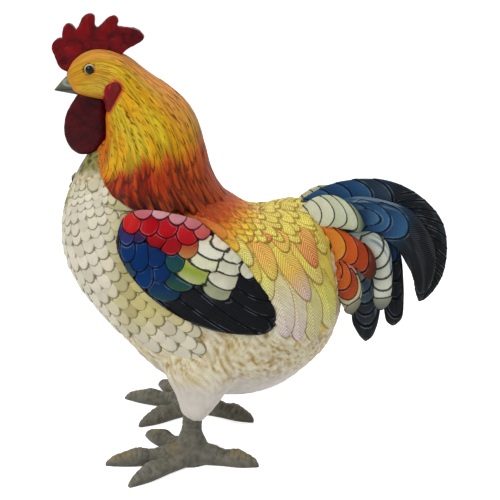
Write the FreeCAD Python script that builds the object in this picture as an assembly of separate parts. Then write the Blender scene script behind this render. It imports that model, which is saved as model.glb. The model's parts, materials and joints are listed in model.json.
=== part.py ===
"""A hand-painted cast-resin rooster that stands on its own two feet.

The figure is slush cast: a hollow body and a hollow head with its neck cape. The thighs, legs, wings,
comb, wattles, beak, eyes and tail plumes are cast by themselves, seated face to face, and pinned.
Millimetres, Z up, the beak towards -X and the bird's left side towards -Y.
"""
import FreeCAD, Part
import math
import os
from FreeCAD import Vector

# Body: the hollow casting from the breast to the root of the tail
body_length = 214.0
body_height = 204.0
body_half_width = 57.0
belly_height = 44.0
body_wall = 6.0
saddle_rise = 2.4
pour_hole_radius = 11.0
plug_clearance = 0.3

# Each chord crosses the body from its front or belly edge to its back edge: along and up for each end,
# then the half width, as shares of the body's length, height and half width.
body_chord_shares = [
    (0.10, 0.95, 0.21, 1.00, 0.19),
    (0.06, 0.885, 0.28, 0.92, 0.40),
    (0.03, 0.815, 0.366, 0.877, 0.60),
    (0.00, 0.66, 0.54, 0.80, 0.87),
    (0.033, 0.492, 0.646, 0.731, 0.97),
    (0.183, 0.265, 0.735, 0.727, 1.00),
    (0.40, 0.045, 0.798, 0.747, 0.99),
    (0.664, 0.00, 0.858, 0.739, 0.90),
    (0.777, 0.04, 0.898, 0.716, 0.78),
    (0.87, 0.114, 0.935, 0.672, 0.64),
    (0.931, 0.179, 0.965, 0.613, 0.50),
    (0.967, 0.25, 0.989, 0.525, 0.34),
    (0.988, 0.32, 1.00, 0.452, 0.15),
]
cavity_first_chord = 2
cavity_last_chord = 9
body_power_share = 2.2
saddle_outline_shares = [
    (0.50, 0.75),
    (0.59, 0.65),
    (0.69, 0.52),
    (0.745, 0.41),
    (0.76, 0.30),
    (0.83, 0.26),
    (0.89, 0.23),
    (0.945, 0.30),
    (0.965, 0.42),
    (0.945, 0.56),
    (0.87, 0.73),
    (0.80, 0.95),
    (0.62, 1.02),
    (0.48, 0.92),
]
pour_hole_along_share = 0.60

# Neck cape and head: one hollow casting that slips over the shoulders
cape_length = 113.0
cape_height = 114.0
cape_half_width = 48.0
cape_wall = 5.0
cape_start_share = 0.042
cape_rise_share = 0.77
cape_chord_shares = [
    (0.03, 0.75, 0.00, 0.84, 0.10),
    (0.08, 0.71, 0.05, 0.93, 0.21),
    (0.155, 0.69, 0.145, 0.99, 0.29),
    (0.23, 0.68, 0.25, 1.00, 0.34),
    (0.255, 0.645, 0.366, 0.965, 0.41),
    (0.245, 0.554, 0.472, 0.889, 0.50),
    (0.24, 0.44, 0.585, 0.806, 0.58),
    (0.21, 0.34, 0.70, 0.717, 0.67),
    (0.18, 0.26, 0.794, 0.606, 0.76),
    (0.15, 0.18, 0.862, 0.408, 0.86),
    (0.13, 0.11, 0.905, 0.22, 0.95),
    (0.13, 0.04, 1.05, 0.00, 1.00),
]
cape_cavity_first_chord = 3
cape_cavity_last_chord = 10
cape_power_share = 2.3
cape_forward_share = 0.16

# Beak: both mandibles in one casting
beak_length = 24.0
beak_height = 20.0
beak_half_width = 8.0
beak_tip_along_share = -0.09
beak_foot_up_share = 0.70
upper_mandible_shares = [
    (1.00, 0.20, 1.00, 1.00, 1.00),
    (0.66, 0.22, 0.64, 0.93, 0.84),
    (0.37, 0.22, 0.35, 0.75, 0.62),
    (0.14, 0.18, 0.13, 0.50, 0.36),
    (0.01, 0.06, 0.00, 0.19, 0.12),
]
lower_mandible_shares = [
    (0.98, -0.05, 1.00, 0.36, 0.80),
    (0.68, 0.00, 0.70, 0.32, 0.66),
    (0.43, 0.07, 0.45, 0.29, 0.42),
    (0.25, 0.14, 0.26, 0.26, 0.16),
]

# Eyes: round beads let into sockets
eye_radius = 4.2
eye_along_share = 0.168
eye_up_share = 0.885
eye_out_share = 0.235

# Comb: a plate with five points, thick at the skull and thin at the points
comb_length = 66.0
comb_height = 43.0
comb_root_half_thickness = 4.2
comb_tip_half_thickness = 1.8
comb_start_share = -0.077
comb_rise_share = 0.842
comb_lobe_shares = [
    [(0.757, 0.333), (0.86, 0.45), (1.00, 0.62), (0.95, 0.715), (0.85, 0.765), (0.70, 0.80)],
    [(0.70, 0.80), (0.72, 0.90), (0.685, 0.96), (0.61, 0.92), (0.55, 0.83), (0.486, 0.774)],
    [(0.486, 0.774), (0.47, 0.87), (0.465, 0.96), (0.42, 0.995), (0.34, 0.92), (0.30, 0.80), (0.264, 0.712)],
    [(0.264, 0.712), (0.235, 0.79), (0.18, 0.84), (0.14, 0.78), (0.125, 0.58)],
    [(0.125, 0.58), (0.05, 0.575), (0.00, 0.49), (0.02, 0.29), (0.06, 0.14), (0.13, 0.04)],
    [(0.13, 0.04), (0.25, 0.02), (0.48, 0.10), (0.67, 0.12), (0.757, 0.333)],
]
comb_thickness_shares = [(0.0, 1.0), (0.45, 0.85), (0.75, 0.42), (1.0, 0.0)]
comb_taper_span_shares = (-0.5, 1.5)
comb_taper_power_share = 4.0
comb_pin_radius = 1.5
comb_pin_length = 14.0
comb_pin_along_shares = [0.36, 0.60]
comb_pin_root_up_share = -0.10
comb_pin_top_up_share = 0.70

# Wattles: two flat drops under the beak
wattle_length = 32.0
wattle_height = 56.0
wattle_half_thickness = 4.2
wattle_gap = 0.5
wattle_start_share = -0.032
wattle_foot_share = 0.317
wattle_chord_shares = [
    (0.42, 0.96, 0.86, 0.96, 0.66),
    (0.33, 0.80, 0.93, 0.82, 0.80),
    (0.12, 0.61, 0.98, 0.63, 0.94),
    (0.00, 0.36, 1.00, 0.38, 1.00),
    (0.04, 0.18, 0.95, 0.21, 0.94),
    (0.17, 0.07, 0.82, 0.09, 0.76),
    (0.34, 0.01, 0.68, 0.02, 0.42),
]

# Ear lobes: small cushions behind the cheeks
lobe_length = 12.0
lobe_height = 15.0
lobe_half_thickness = 4.0
lobe_start_share = 0.257
lobe_foot_share = 0.68
lobe_out_share = 0.37
lobe_chord_shares = [
    (0.32, 0.00, 0.68, 0.00, 0.35),
    (0.08, 0.20, 0.90, 0.20, 0.80),
    (0.00, 0.52, 1.00, 0.52, 1.00),
    (0.10, 0.82, 0.92, 0.82, 0.80),
    (0.36, 1.00, 0.66, 1.00, 0.35),
]

# Wings: flight feathers with the coverts lying over them
wing_length = 114.0
wing_height = 90.0
flight_thickness = 4.0
covert_thickness = 6.6
wing_inner_side = 10.0
wing_start_share = 0.221
wing_rise_share = 0.351
wing_outline_shares = [
    (0.24, 1.00),
    (0.08, 0.97),
    (0.00, 0.77),
    (0.04, 0.60),
    (0.14, 0.42),
    (0.42, 0.13),
    (0.80, 0.00),
    (0.97, 0.04),
    (1.00, 0.15),
    (0.88, 0.43),
    (0.71, 0.70),
    (0.52, 0.90),
]
covert_outline_shares = [
    (0.05, 0.36),
    (0.23, 0.49),
    (0.44, 0.63),
    (0.47, 0.48),
    (0.61, 0.37),
    (0.71, 0.45),
    (0.76, 0.56),
    (0.86, 0.64),
    (1.10, 0.90),
    (0.50, 1.20),
    (-0.10, 1.20),
    (-0.10, 0.50),
]
wing_peg_radius = 2.0
wing_peg_length = 8.0
wing_peg_place_shares = [(0.28, 0.72), (0.60, 0.52)]

# Stance: where the legs stand, and how the feet turn out
stance_half_width = 41.0
leg_along_share = 0.453
left_foot_turn = 6.0
right_foot_turn = 18.0

# Thighs
thigh_length = 75.0
thigh_height = 73.0
thigh_half_width = 26.0
thigh_front_reach = 30.0
thigh_chord_shares = [
    (0.37, 0.00, 0.52, 0.00, 0.30, 0.97),
    (0.31, 0.055, 0.573, 0.055, 0.42, 0.96),
    (0.27, 0.178, 0.669, 0.178, 0.58, 0.94),
    (0.20, 0.37, 0.805, 0.37, 0.74, 0.91),
    (0.107, 0.603, 0.94, 0.603, 0.86, 0.88),
    (0.10, 0.82, 0.90, 0.82, 0.80, 0.72),
    (0.20, 1.00, 0.80, 1.00, 0.60, 0.52),
]

# Legs: shank and foot in one casting, with a stub that sockets into the thigh
shank_height = 37.0
stub_height = 14.0
shank_half_depth = 12.0
shank_half_width = 11.0
shank_chord_shares = [
    (-1.25, -0.03, 1.17, -0.03, 1.00),
    (-1.20, 0.22, 1.12, 0.22, 0.98),
    (-1.02, 0.48, 0.92, 0.48, 0.82),
    (-0.72, 0.72, 0.66, 0.72, 0.68),
    (-0.60, 1.00, 0.72, 1.00, 0.70),
]
stub_chord_share = (-0.30, 0.62, 0.52)
toe_height = 16.0
toe_half_width = 9.0
toe_sole_depth = 1.5
toe_station_shares = [
    (0.00, 0.70, 0.60),
    (0.20, 0.96, 0.96),
    (0.36, 0.84, 0.84),
    (0.47, 0.74, 0.78),
    (0.62, 0.84, 0.86),
    (0.78, 0.66, 0.70),
    (0.90, 0.50, 0.44),
    (1.00, 0.12, 0.16),
]
middle_toe_length = 68.0
outer_toe_length = 60.0
inner_toe_length = 56.0
back_toe_length = 50.0
back_toe_root = 3.0
outer_toe_angle = 34.0
inner_toe_angle = 50.0
left_back_toe_angle = 16.0
right_back_toe_angle = -6.0
sole_allowance = 60.0

# Armature: a steel rod from each foot up into the body
rod_radius = 2.5
rod_foot_height = 6.0
rod_top_share = 0.40
rod_boss_radius = 12.0

# Tail: layers of plumes on each side of the middle ones
tail_length = 116.0
tail_height = 134.0
tail_start_share = 0.832
tail_rise_share = 0.196
plume_half_thickness = 5.0
plume_layer_spacing = 10.3
plume_thickness_share = 0.40
plume_power_share = 2.3
tail_spread_share = 0.92
tail_flare_share = 0.25
tail_lean_share = 0.32
tail_pin_radius = 1.5
tail_pin_length = 11.0

# Each plume has its layer, then chords from its outer edge to its inner one, as shares of the tail.
middle_plume_shares = {
    "main_sickle": [
        (-0.18, 0.78, -0.13, 0.64),
        (-0.04, 0.84, 0.02, 0.70),
        (0.15, 0.95, 0.18, 0.75),
        (0.33, 0.995, 0.34, 0.76),
        (0.51, 1.00, 0.48, 0.76),
        (0.68, 0.96, 0.58, 0.73),
        (0.84, 0.87, 0.66, 0.67),
        (0.96, 0.74, 0.70, 0.60),
        (1.00, 0.58, 0.73, 0.52),
        (0.98, 0.42, 0.78, 0.40),
        (0.91, 0.31, 0.80, 0.32),
        (0.84, 0.25, 0.82, 0.26),
    ],
    "blue_rear": [
        (0.18, 0.62, 0.19, 0.50),
        (0.40, 0.68, 0.34, 0.53),
        (0.61, 0.69, 0.50, 0.54),
        (0.69, 0.56, 0.575, 0.48),
        (0.72, 0.39, 0.585, 0.38),
        (0.73, 0.24, 0.59, 0.24),
        (0.72, 0.15, 0.61, 0.14),
        (0.68, 0.10, 0.64, 0.10),
    ],
    "black_lower": [
        (0.18, 0.50, 0.16, 0.36),
        (0.34, 0.54, 0.27, 0.38),
        (0.49, 0.50, 0.345, 0.34),
        (0.56, 0.38, 0.37, 0.27),
        (0.575, 0.24, 0.375, 0.19),
        (0.565, 0.14, 0.385, 0.12),
        (0.54, 0.06, 0.42, 0.06),
        (0.50, 0.00, 0.46, 0.00),
    ],
}
inner_layer_shares = {
    "barred_white": [
        (0.16, 0.68, 0.18, 0.54),
        (0.34, 0.71, 0.30, 0.55),
        (0.49, 0.715, 0.40, 0.55),
        (0.59, 0.65, 0.47, 0.51),
        (0.63, 0.53, 0.49, 0.46),
        (0.64, 0.41, 0.50, 0.39),
        (0.63, 0.30, 0.51, 0.29),
        (0.59, 0.23, 0.54, 0.23),
    ],
    "blue_sickle": [
        (-0.10, 0.76, -0.08, 0.64),
        (0.03, 0.81, 0.06, 0.66),
        (0.16, 0.86, 0.19, 0.67),
        (0.30, 0.90, 0.34, 0.67),
        (0.44, 0.91, 0.46, 0.68),
        (0.58, 0.885, 0.56, 0.66),
        (0.72, 0.84, 0.64, 0.62),
        (0.82, 0.75, 0.68, 0.57),
        (0.89, 0.64, 0.72, 0.51),
        (0.91, 0.52, 0.76, 0.45),
        (0.89, 0.41, 0.79, 0.38),
        (0.84, 0.32, 0.81, 0.33),
    ],
}
outer_layer_shares = {
    "cream_covert": [
        (-0.14, 0.77, -0.11, 0.66),
        (-0.01, 0.85, 0.02, 0.74),
        (0.09, 0.92, 0.13, 0.74),
        (0.19, 0.94, 0.24, 0.74),
        (0.28, 0.92, 0.33, 0.73),
        (0.36, 0.865, 0.385, 0.725),
        (0.43, 0.785, 0.42, 0.73),
    ],
    "orange_upper": [
        (-0.08, 0.72, -0.05, 0.60),
        (0.03, 0.75, 0.06, 0.59),
        (0.13, 0.76, 0.15, 0.56),
        (0.23, 0.755, 0.24, 0.54),
        (0.33, 0.72, 0.33, 0.53),
        (0.42, 0.67, 0.40, 0.49),
        (0.49, 0.60, 0.45, 0.455),
        (0.525, 0.50, 0.49, 0.445),
    ],
    "orange_lower": [
        (0.00, 0.61, 0.02, 0.49),
        (0.12, 0.61, 0.11, 0.49),
        (0.22, 0.59, 0.17, 0.44),
        (0.32, 0.555, 0.22, 0.39),
        (0.39, 0.49, 0.26, 0.34),
        (0.43, 0.39, 0.29, 0.29),
        (0.42, 0.31, 0.31, 0.255),
        (0.38, 0.235, 0.34, 0.225),
    ],
}

# Rings, whose points are counted in multiples of four, and overruns
body_ring_points = 16
plume_ring_points = 8
skin_patches = 4
overrun = 40.0
overrun_gap = 0.001
cut_tolerances = [0.001, 0.01]
cut_error_share = 0.0001


def place(frame, along, up, out=0.0):
    """A point at shares of a frame, whose values are its start, foot, length and height."""
    start, foot, length, height = frame
    return Vector(start + along * length, out, foot + up * height)


body_frame = (0.0, belly_height, body_length, body_height)
cape_frame = (
    cape_start_share * body_length,
    belly_height + cape_rise_share * body_height,
    cape_length,
    cape_height,
)
tail_frame = (
    tail_start_share * body_length,
    belly_height + tail_rise_share * body_height,
    tail_length,
    tail_height,
)
wing_frame = (
    wing_start_share * body_length,
    belly_height + wing_rise_share * body_height,
    wing_length,
    wing_height,
)


def frame_on_cape(along, up, length, height):
    """A frame for a small piece that sits on the head."""
    foot = place(cape_frame, along, up)
    return (foot.x, foot.z, length, height)


def rounded(value, power):
    """Cosine or sine bent towards a box, as a superellipse has it."""
    return math.copysign(abs(value) ** (2.0 / power), value)


def ring(first, second, half_width, power=2.0, count=plume_ring_points, forward=0.0):
    """A closed smooth curve through both ends of a chord, half_width to each side of it."""
    middle = (first + second) * 0.5
    reach = (first - second) * 0.5
    direction = Vector(reach).normalize()
    side = Vector(0, 1, 0) - direction * direction.y
    side.normalize()
    points = []
    for step in range(count):
        angle = 2 * math.pi * (step + 1) / count
        along = rounded(math.cos(angle), power)
        across = rounded(math.sin(angle), power) * (1 + forward * math.cos(angle))
        points.append(middle + reach * along + side * (half_width * across))
    curve = Part.BSplineCurve()
    knots = [float(step) for step in range(count + 1)]
    curve.interpolate(Points=points, PeriodicFlag=True, Parameters=knots)
    return curve


def loft(rings):
    """A smooth closed solid through rings: a skin in four patches, and a flat face on each end."""
    rows = [curve.getPoles() for curve in rings]
    stations = [0.0]
    for before, after in zip(rings, rings[1:]):
        step = sum((new - old).Length for old, new in zip(before.getPoles(), after.getPoles()))
        stations.append(stations[-1] + step)
    columns = []
    for column_points in zip(*rows):
        column = Part.BSplineCurve()
        column.interpolate(Points=list(column_points), Parameters=stations)
        columns.append(column)
    skin = Part.BSplineSurface()
    skin.buildFromPolesMultsKnots(
        [column.getPoles() for column in columns],
        rings[0].getMultiplicities(),
        columns[0].getMultiplicities(),
        rings[0].getKnots(),
        columns[0].getKnots(),
        True,
        False,
        rings[0].Degree,
        columns[0].Degree,
    )
    knots = rings[0].getKnots()
    seams = [knots[patch * (len(knots) - 1) // skin_patches] for patch in range(skin_patches + 1)]
    spans = list(zip(seams, seams[1:]))
    faces = []
    for low, high in spans:
        patch = skin.copy()
        patch.segment(low, high, stations[0], stations[-1])
        faces.append(patch.toShape())
    for curve in (rings[0], rings[-1]):
        faces.append(Part.Face(Part.Wire([curve.toShape(low, high) for low, high in spans])))
    shell = Part.Shell(faces)
    shell.sewShape()
    solid = Part.Solid(shell)
    return solid if solid.Volume > 0 else solid.reversed()


def chord_loft(frame, shares, half_width, grow=0.0, power=2.0, count=plume_ring_points, out=0.0, forward=0.0):
    """A solid through chords given as shares of a frame, grown outwards all round by a length."""
    rings = []
    for first_along, first_up, second_along, second_up, width_share in shares:
        first = place(frame, first_along, first_up, out)
        second = place(frame, second_along, second_up, out)
        outward = Vector(first - second).normalize() * grow
        wide = half_width * width_share + grow
        rings.append(ring(first + outward, second - outward, wide, power, count, forward))
    return loft(rings)


def smooth_prism(points, from_y, to_y):
    """A prism along Y whose outline is one smooth closed curve."""
    curve = Part.BSplineCurve()
    curve.interpolate(Points=[Vector(p.x, from_y, p.z) for p in points], PeriodicFlag=True)
    return Part.Face(Part.Wire(curve.toShape())).extrude(Vector(0, to_y - from_y, 0))


def straight_prism(points, from_y, to_y):
    """A prism along Y whose outline is straight from point to point."""
    corners = [Vector(p.x, from_y, p.z) for p in points]
    outline = Part.makePolygon(corners + corners[:1])
    return Part.Face(outline).extrude(Vector(0, to_y - from_y, 0))


def mirrored(shape):
    """The same piece on the bird's other side."""
    return shape.mirror(Vector(0, 0, 0), Vector(0, 1, 0))


def main_solid(shape):
    """The largest solid of a cut piece, without slivers."""
    return max(shape.Solids, key=lambda solid: solid.Volume)


def exit_point(solid, start, end):
    """Where a straight line that starts inside a solid leaves it."""
    inside = Part.LineSegment(start, end).toShape().common(solid)
    ends = [vertex.Point for vertex in inside.Vertexes]
    return min(ends, key=lambda point: abs((point - end).Length)) if ends else start


def pin_through(solid, start, end, radius, length):
    """A pin along a line, half of it on each side of the surface that the line leaves by."""
    direction = Vector(end - start).normalize()
    seat = exit_point(solid, start, end)
    return Part.makeCylinder(radius, length, seat - direction * (length / 2), direction)


def body_outside(grow=0.0):
    """The body's outer form, without the saddle."""
    return chord_loft(
        body_frame, body_chord_shares, body_half_width, grow, body_power_share, body_ring_points
    )


def saddle_layer():
    """The saddle feathers' drape: the back's form, raised, within the saddle's outline."""
    outline = [place(body_frame, along, up) for along, up in saddle_outline_shares]
    reach = body_half_width + overrun
    return body_outside(saddle_rise).common(smooth_prism(outline, -reach, reach))


def body_cavity():
    """The hollow inside the body, with a boss left round each leg's rod."""
    chords = body_chord_shares[cavity_first_chord : cavity_last_chord + 1]
    hollow = chord_loft(
        body_frame, chords, body_half_width, -body_wall, body_power_share, body_ring_points
    )
    boss_top = rod_top() + body_wall
    for side in (-1, 1):
        foot = Vector(leg_x(), side * stance_half_width, 0)
        hollow = hollow.cut(Part.makeCylinder(rod_boss_radius, boss_top, foot))
    return hollow


def leg_x():
    """Where the legs stand along the body."""
    return leg_along_share * body_length


def rod_top():
    """The height that the steel rods reach inside the body."""
    return belly_height + rod_top_share * body_height


def leg_rod(side):
    """A steel rod that runs up a leg into the body."""
    foot = Vector(leg_x(), side * stance_half_width, rod_foot_height)
    return Part.makeCylinder(rod_radius, rod_top() - rod_foot_height, foot)


def pour_plug(outside, cavity):
    """The plug that closes the pour hole under the belly, flush with the body."""
    foot = Vector(pour_hole_along_share * body_length, 0, 0)
    column = Part.makeCylinder(pour_hole_radius - plug_clearance, belly_height + overrun, foot)
    return main_solid(column.common(outside).cut(cavity))


def pour_hole():
    """The hole that the plug closes."""
    foot = Vector(pour_hole_along_share * body_length, 0, 0)
    return Part.makeCylinder(pour_hole_radius, belly_height + overrun, foot)


def cape_outside():
    """The outer form of the head and the neck cape."""
    return chord_loft(
        cape_frame,
        cape_chord_shares,
        cape_half_width,
        0.0,
        cape_power_share,
        body_ring_points,
        0.0,
        cape_forward_share,
    )


def cape_cavity():
    """The hollow inside the neck, open at the bottom."""
    chords = cape_chord_shares[cape_cavity_first_chord : cape_cavity_last_chord + 1]
    return chord_loft(
        cape_frame,
        chords,
        cape_half_width,
        -cape_wall,
        cape_power_share,
        body_ring_points,
        0.0,
        cape_forward_share,
    )


def beak():
    """Upper and lower mandible."""
    frame = frame_on_cape(beak_tip_along_share, beak_foot_up_share, beak_length, beak_height)
    upper = chord_loft(frame, upper_mandible_shares, beak_half_width)
    lower = chord_loft(frame, lower_mandible_shares, beak_half_width)
    return upper.fuse(lower)


def eye(side):
    """A round bead, most of it inside its socket."""
    centre = place(cape_frame, eye_along_share, eye_up_share, side * eye_out_share * cape_half_width)
    return Part.makeSphere(eye_radius, centre)


def comb_frame():
    """The frame that the comb's outline and pins follow."""
    return frame_on_cape(comb_start_share, comb_rise_share, comb_length, comb_height)


def comb():
    """The comb's outline, one smooth edge for each point, pared thin towards the points."""
    frame = comb_frame()
    edges = []
    for lobe in comb_lobe_shares:
        curve = Part.BSplineCurve()
        curve.interpolate(
            Points=[place(frame, along, up, -comb_root_half_thickness) for along, up in lobe]
        )
        edges.append(curve.toShape())
    plate = Part.Face(Part.Wire(edges)).extrude(Vector(0, 2 * comb_root_half_thickness, 0))
    rings = []
    for up, thick_share in comb_thickness_shares:
        thin = comb_tip_half_thickness
        wide = thin + thick_share * (comb_root_half_thickness - thin)
        front, back = [place(frame, along, up) for along in comb_taper_span_shares]
        rings.append(ring(front, back, wide, comb_taper_power_share))
    return plate.common(loft(rings))


def comb_pins(skull):
    """Pins that hold the comb to the skull."""
    frame = comb_frame()
    pins = []
    for along in comb_pin_along_shares:
        root = place(frame, along, comb_pin_root_up_share)
        top = place(frame, along, comb_pin_top_up_share)
        pins.append(pin_through(skull, root, top, comb_pin_radius, comb_pin_length))
    return pins


def wattle(side):
    """One flat drop, hung from the throat beside its twin."""
    frame = frame_on_cape(wattle_start_share, wattle_foot_share, wattle_length, wattle_height)
    out = side * (wattle_half_thickness + wattle_gap / 2)
    return chord_loft(frame, wattle_chord_shares, wattle_half_thickness, out=out)


def ear_lobe(side):
    """A small cushion on the side of the head."""
    frame = frame_on_cape(lobe_start_share, lobe_foot_share, lobe_length, lobe_height)
    out = side * lobe_out_share * cape_half_width
    return chord_loft(frame, lobe_chord_shares, lobe_half_thickness, out=out)


def left_wing():
    """Flight feathers close to the body, and the thicker coverts over them."""
    reach = body_half_width + overrun
    outline = [place(wing_frame, along, up) for along, up in wing_outline_shares]
    covert_outline = [place(wing_frame, along, up) for along, up in covert_outline_shares]
    whole = smooth_prism(outline, -reach, -wing_inner_side)
    flights = body_outside(flight_thickness).common(whole)
    coverts = body_outside(covert_thickness).common(whole)
    return flights.fuse(coverts.common(straight_prism(covert_outline, -reach, 0.0)))


def wing_pegs(outside):
    """Two pegs from the body's wall into the left wing."""
    pegs = []
    for along, up in wing_peg_place_shares:
        start = place(wing_frame, along, up)
        end = place(wing_frame, along, up, -body_half_width - overrun)
        pegs.append(pin_through(outside, start, end, wing_peg_radius, wing_peg_length))
    return pegs


def thigh(side):
    """A drumstick that narrows to the shank."""
    frame = (leg_x() - thigh_front_reach, shank_height, thigh_length, thigh_height)
    rings = []
    for first_along, first_up, second_along, second_up, width_share, out_share in thigh_chord_shares:
        out = side * stance_half_width * out_share
        first = place(frame, first_along, first_up, out)
        second = place(frame, second_along, second_up, out)
        rings.append(ring(first, second, thigh_half_width * width_share))
    return loft(rings)


def toe(length, angle, root=0.0):
    """A knuckled toe with its claw, turned about the shank. Root is where it starts from the shank's axis."""
    rings = []
    for along, high, wide in toe_station_shares:
        top = Vector(-root - along * length, 0, high * toe_height)
        sole = Vector(-root - along * length, 0, -toe_sole_depth)
        rings.append(ring(top, sole, toe_half_width * wide))
    solid = loft(rings)
    solid.rotate(Vector(0, 0, 0), Vector(0, 0, 1), angle)
    return solid


def shank():
    """The scaled shank with the stub on top."""
    frame = (0.0, 0.0, shank_half_depth, shank_height)
    rings = []
    for first_along, first_up, second_along, second_up, wide in shank_chord_shares:
        first = place(frame, first_along, first_up)
        second = place(frame, second_along, second_up)
        rings.append(ring(first, second, shank_half_width * wide))
    front, back, wide = stub_chord_share
    stub_top = 1.0 + stub_height / shank_height
    first = place(frame, front, stub_top)
    rings.append(ring(first, place(frame, back, stub_top), shank_half_width * wide))
    return loft(rings)


def leg(side, turn, back_toe_angle):
    """Shank and four toes, cut flat where they stand."""
    toes = [
        toe(middle_toe_length, 0.0),
        toe(outer_toe_length, -side * outer_toe_angle),
        toe(inner_toe_length, side * inner_toe_angle),
        toe(back_toe_length, 180.0 + side * back_toe_angle, back_toe_root),
    ]
    solid = joined(shank(), toes)
    solid.rotate(Vector(0, 0, 0), Vector(0, 0, 1), -side * turn)
    reach = middle_toe_length + sole_allowance
    below = Part.makeBox(2 * reach, 2 * reach, sole_allowance, Vector(-reach, -reach, -sole_allowance))
    solid = solid.cut(below)
    solid.translate(Vector(leg_x(), side * stance_half_width, 0))
    return solid


def tail_spread(along, up):
    """How far the layers stand apart: less at the top and at the root of the tail."""
    return tail_spread_share + tail_flare_share * along - tail_lean_share * up


def plume(layer, chords):
    """A plume in a layer of the tail: 0 is the middle one, and -1 and -2 lie on the bird's left."""
    rings = []
    for outer_along, outer_up, inner_along, inner_up in chords:
        outer_out = layer * plume_layer_spacing * tail_spread(outer_along, outer_up)
        inner_out = layer * plume_layer_spacing * tail_spread(inner_along, inner_up)
        outer = place(tail_frame, outer_along, outer_up, outer_out)
        inner = place(tail_frame, inner_along, inner_up, inner_out)
        middle_spread = tail_spread((outer_along + inner_along) / 2, (outer_up + inner_up) / 2)
        thick = plume_half_thickness * middle_spread
        thick = min(thick, plume_thickness_share * (outer - inner).Length)
        rings.append(ring(outer, inner, thick, plume_power_share))
    return loft(rings)


def chord_middle(layer, chord):
    """The middle of one of a plume's chords."""
    outer_along, outer_up, inner_along, inner_up = chord
    along = (outer_along + inner_along) / 2
    up = (outer_up + inner_up) / 2
    return place(tail_frame, along, up, layer * plume_layer_spacing * tail_spread(along, up))


def tail_pin(outside, layer, chords):
    """A pin from the body into a plume's root, where the plume's middle line leaves the body."""
    middles = [chord_middle(layer, chord) for chord in chords]
    outer = [index for index, point in enumerate(middles) if not outside.isInside(point, overrun_gap, True)]
    first = max(outer[0], 1)
    return pin_through(outside, middles[first - 1], middles[first], tail_pin_radius, tail_pin_length)


def is_smaller(result, shape):
    """Whether a cut came out sound and took something away."""
    return result.isValid() and result.Volume < (1 - cut_error_share) * shape.Volume


def carved(shape, other):
    """A shape without what another takes up, with a little tolerance where an exact cut takes nothing."""
    result = shape.cut(other)
    if is_smaller(result, shape):
        return result
    expected = shape.Volume - shape.common(other).Volume
    results = [result] + [shape.cut([other], tolerance) for tolerance in cut_tolerances]
    return min(results, key=lambda result: abs(result.Volume - expected))


def cut_all(shape, others):
    """A shape without what others take up: in one cut, or one by one where that comes out wrong."""
    near = [other for other in others if shape.BoundBox.intersect(other.BoundBox)]
    result = shape.cut(near) if near else shape
    if not near or is_smaller(result, shape):
        return result
    for other in near:
        shape = carved(shape, other)
    return shape


def joined(shape, others):
    """One solid of a shape and others, added one by one."""
    for other in others:
        shape = shape.fuse(other)
    return shape


def build_head(nodes, body):
    """The cape, the comb, the wattles, the ear lobes, the beak and the eyes."""
    skull = cape_outside()
    pins = comb_pins(skull)
    eyes = {"eye_left": eye(-1), "eye_right": eye(1)}
    nodes.update(eyes)
    nodes["beak"] = main_solid(cut_all(beak(), [skull]))
    nodes["comb_pins"] = Part.makeCompound(pins)
    nodes["comb"] = main_solid(cut_all(comb(), [skull] + pins))
    for name, side in (("left", -1), ("right", 1)):
        nodes["wattle_" + name] = main_solid(cut_all(wattle(side), [skull, body, nodes["beak"]]))
        nodes["ear_lobe_" + name] = main_solid(cut_all(ear_lobe(side), [skull]))
    hollow = skull.cut(cape_cavity())
    nodes["head_cape"] = main_solid(cut_all(hollow, [body] + pins + list(eyes.values())))
    return skull


def build_wings(nodes, body, skull):
    """Both wings and the pegs that hold them."""
    pegs = wing_pegs(body)
    wing = main_solid(cut_all(left_wing(), [body, skull] + pegs))
    nodes["wing_left"] = wing
    nodes["wing_right"] = mirrored(wing)
    pegs = pegs + [mirrored(peg) for peg in pegs]
    nodes["wing_pegs"] = Part.makeCompound(pegs)
    return pegs


def build_legs(nodes, body):
    """Thighs, legs and their steel rods."""
    rods = []
    feet = (
        ("left", -1, left_foot_turn, left_back_toe_angle),
        ("right", 1, right_foot_turn, right_back_toe_angle),
    )
    for name, side, turn, back_toe_angle in feet:
        rod = leg_rod(side)
        lower = leg(side, turn, back_toe_angle)
        nodes["armature_rod_" + name] = rod
        nodes["leg_" + name] = main_solid(lower.cut(rod))
        nodes["thigh_" + name] = main_solid(cut_all(thigh(side), [body, lower, rod]))
        rods.append(rod)
    return rods


def build_tail(nodes, body):
    """The plumes, layer by layer, and their pins."""
    pins = []
    taken = []
    for name, chords in middle_plume_shares.items():
        pin = tail_pin(body, 0, chords)
        solid = main_solid(cut_all(plume(0, chords), [body, pin] + taken))
        taken.append(solid)
        nodes["plume_" + name] = solid
        pins.append(pin)
    for layer, table in ((-1, inner_layer_shares), (-2, outer_layer_shares)):
        taken = []
        for name, chords in table.items():
            pin = tail_pin(body, layer, chords)
            solid = main_solid(cut_all(plume(layer, chords), [body, pin] + taken))
            taken.append(solid)
            nodes["plume_" + name + "_left"] = solid
            nodes["plume_" + name + "_right"] = mirrored(solid)
            pins.extend([pin, mirrored(pin)])
    nodes["tail_pins"] = Part.makeCompound(pins)
    return pins


def build_all():
    """Every piece of the rooster, by name."""
    nodes = {}
    body = body_outside().fuse(saddle_layer())
    cavity = body_cavity()
    skull = build_head(nodes, body)
    fasteners = build_wings(nodes, body, skull)
    fasteners = fasteners + build_legs(nodes, body)
    fasteners = fasteners + build_tail(nodes, body)
    nodes["pour_plug"] = pour_plug(body, cavity)
    nodes["body_shell"] = main_solid(cut_all(body, [cavity, pour_hole()] + fasteners))
    return nodes


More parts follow.
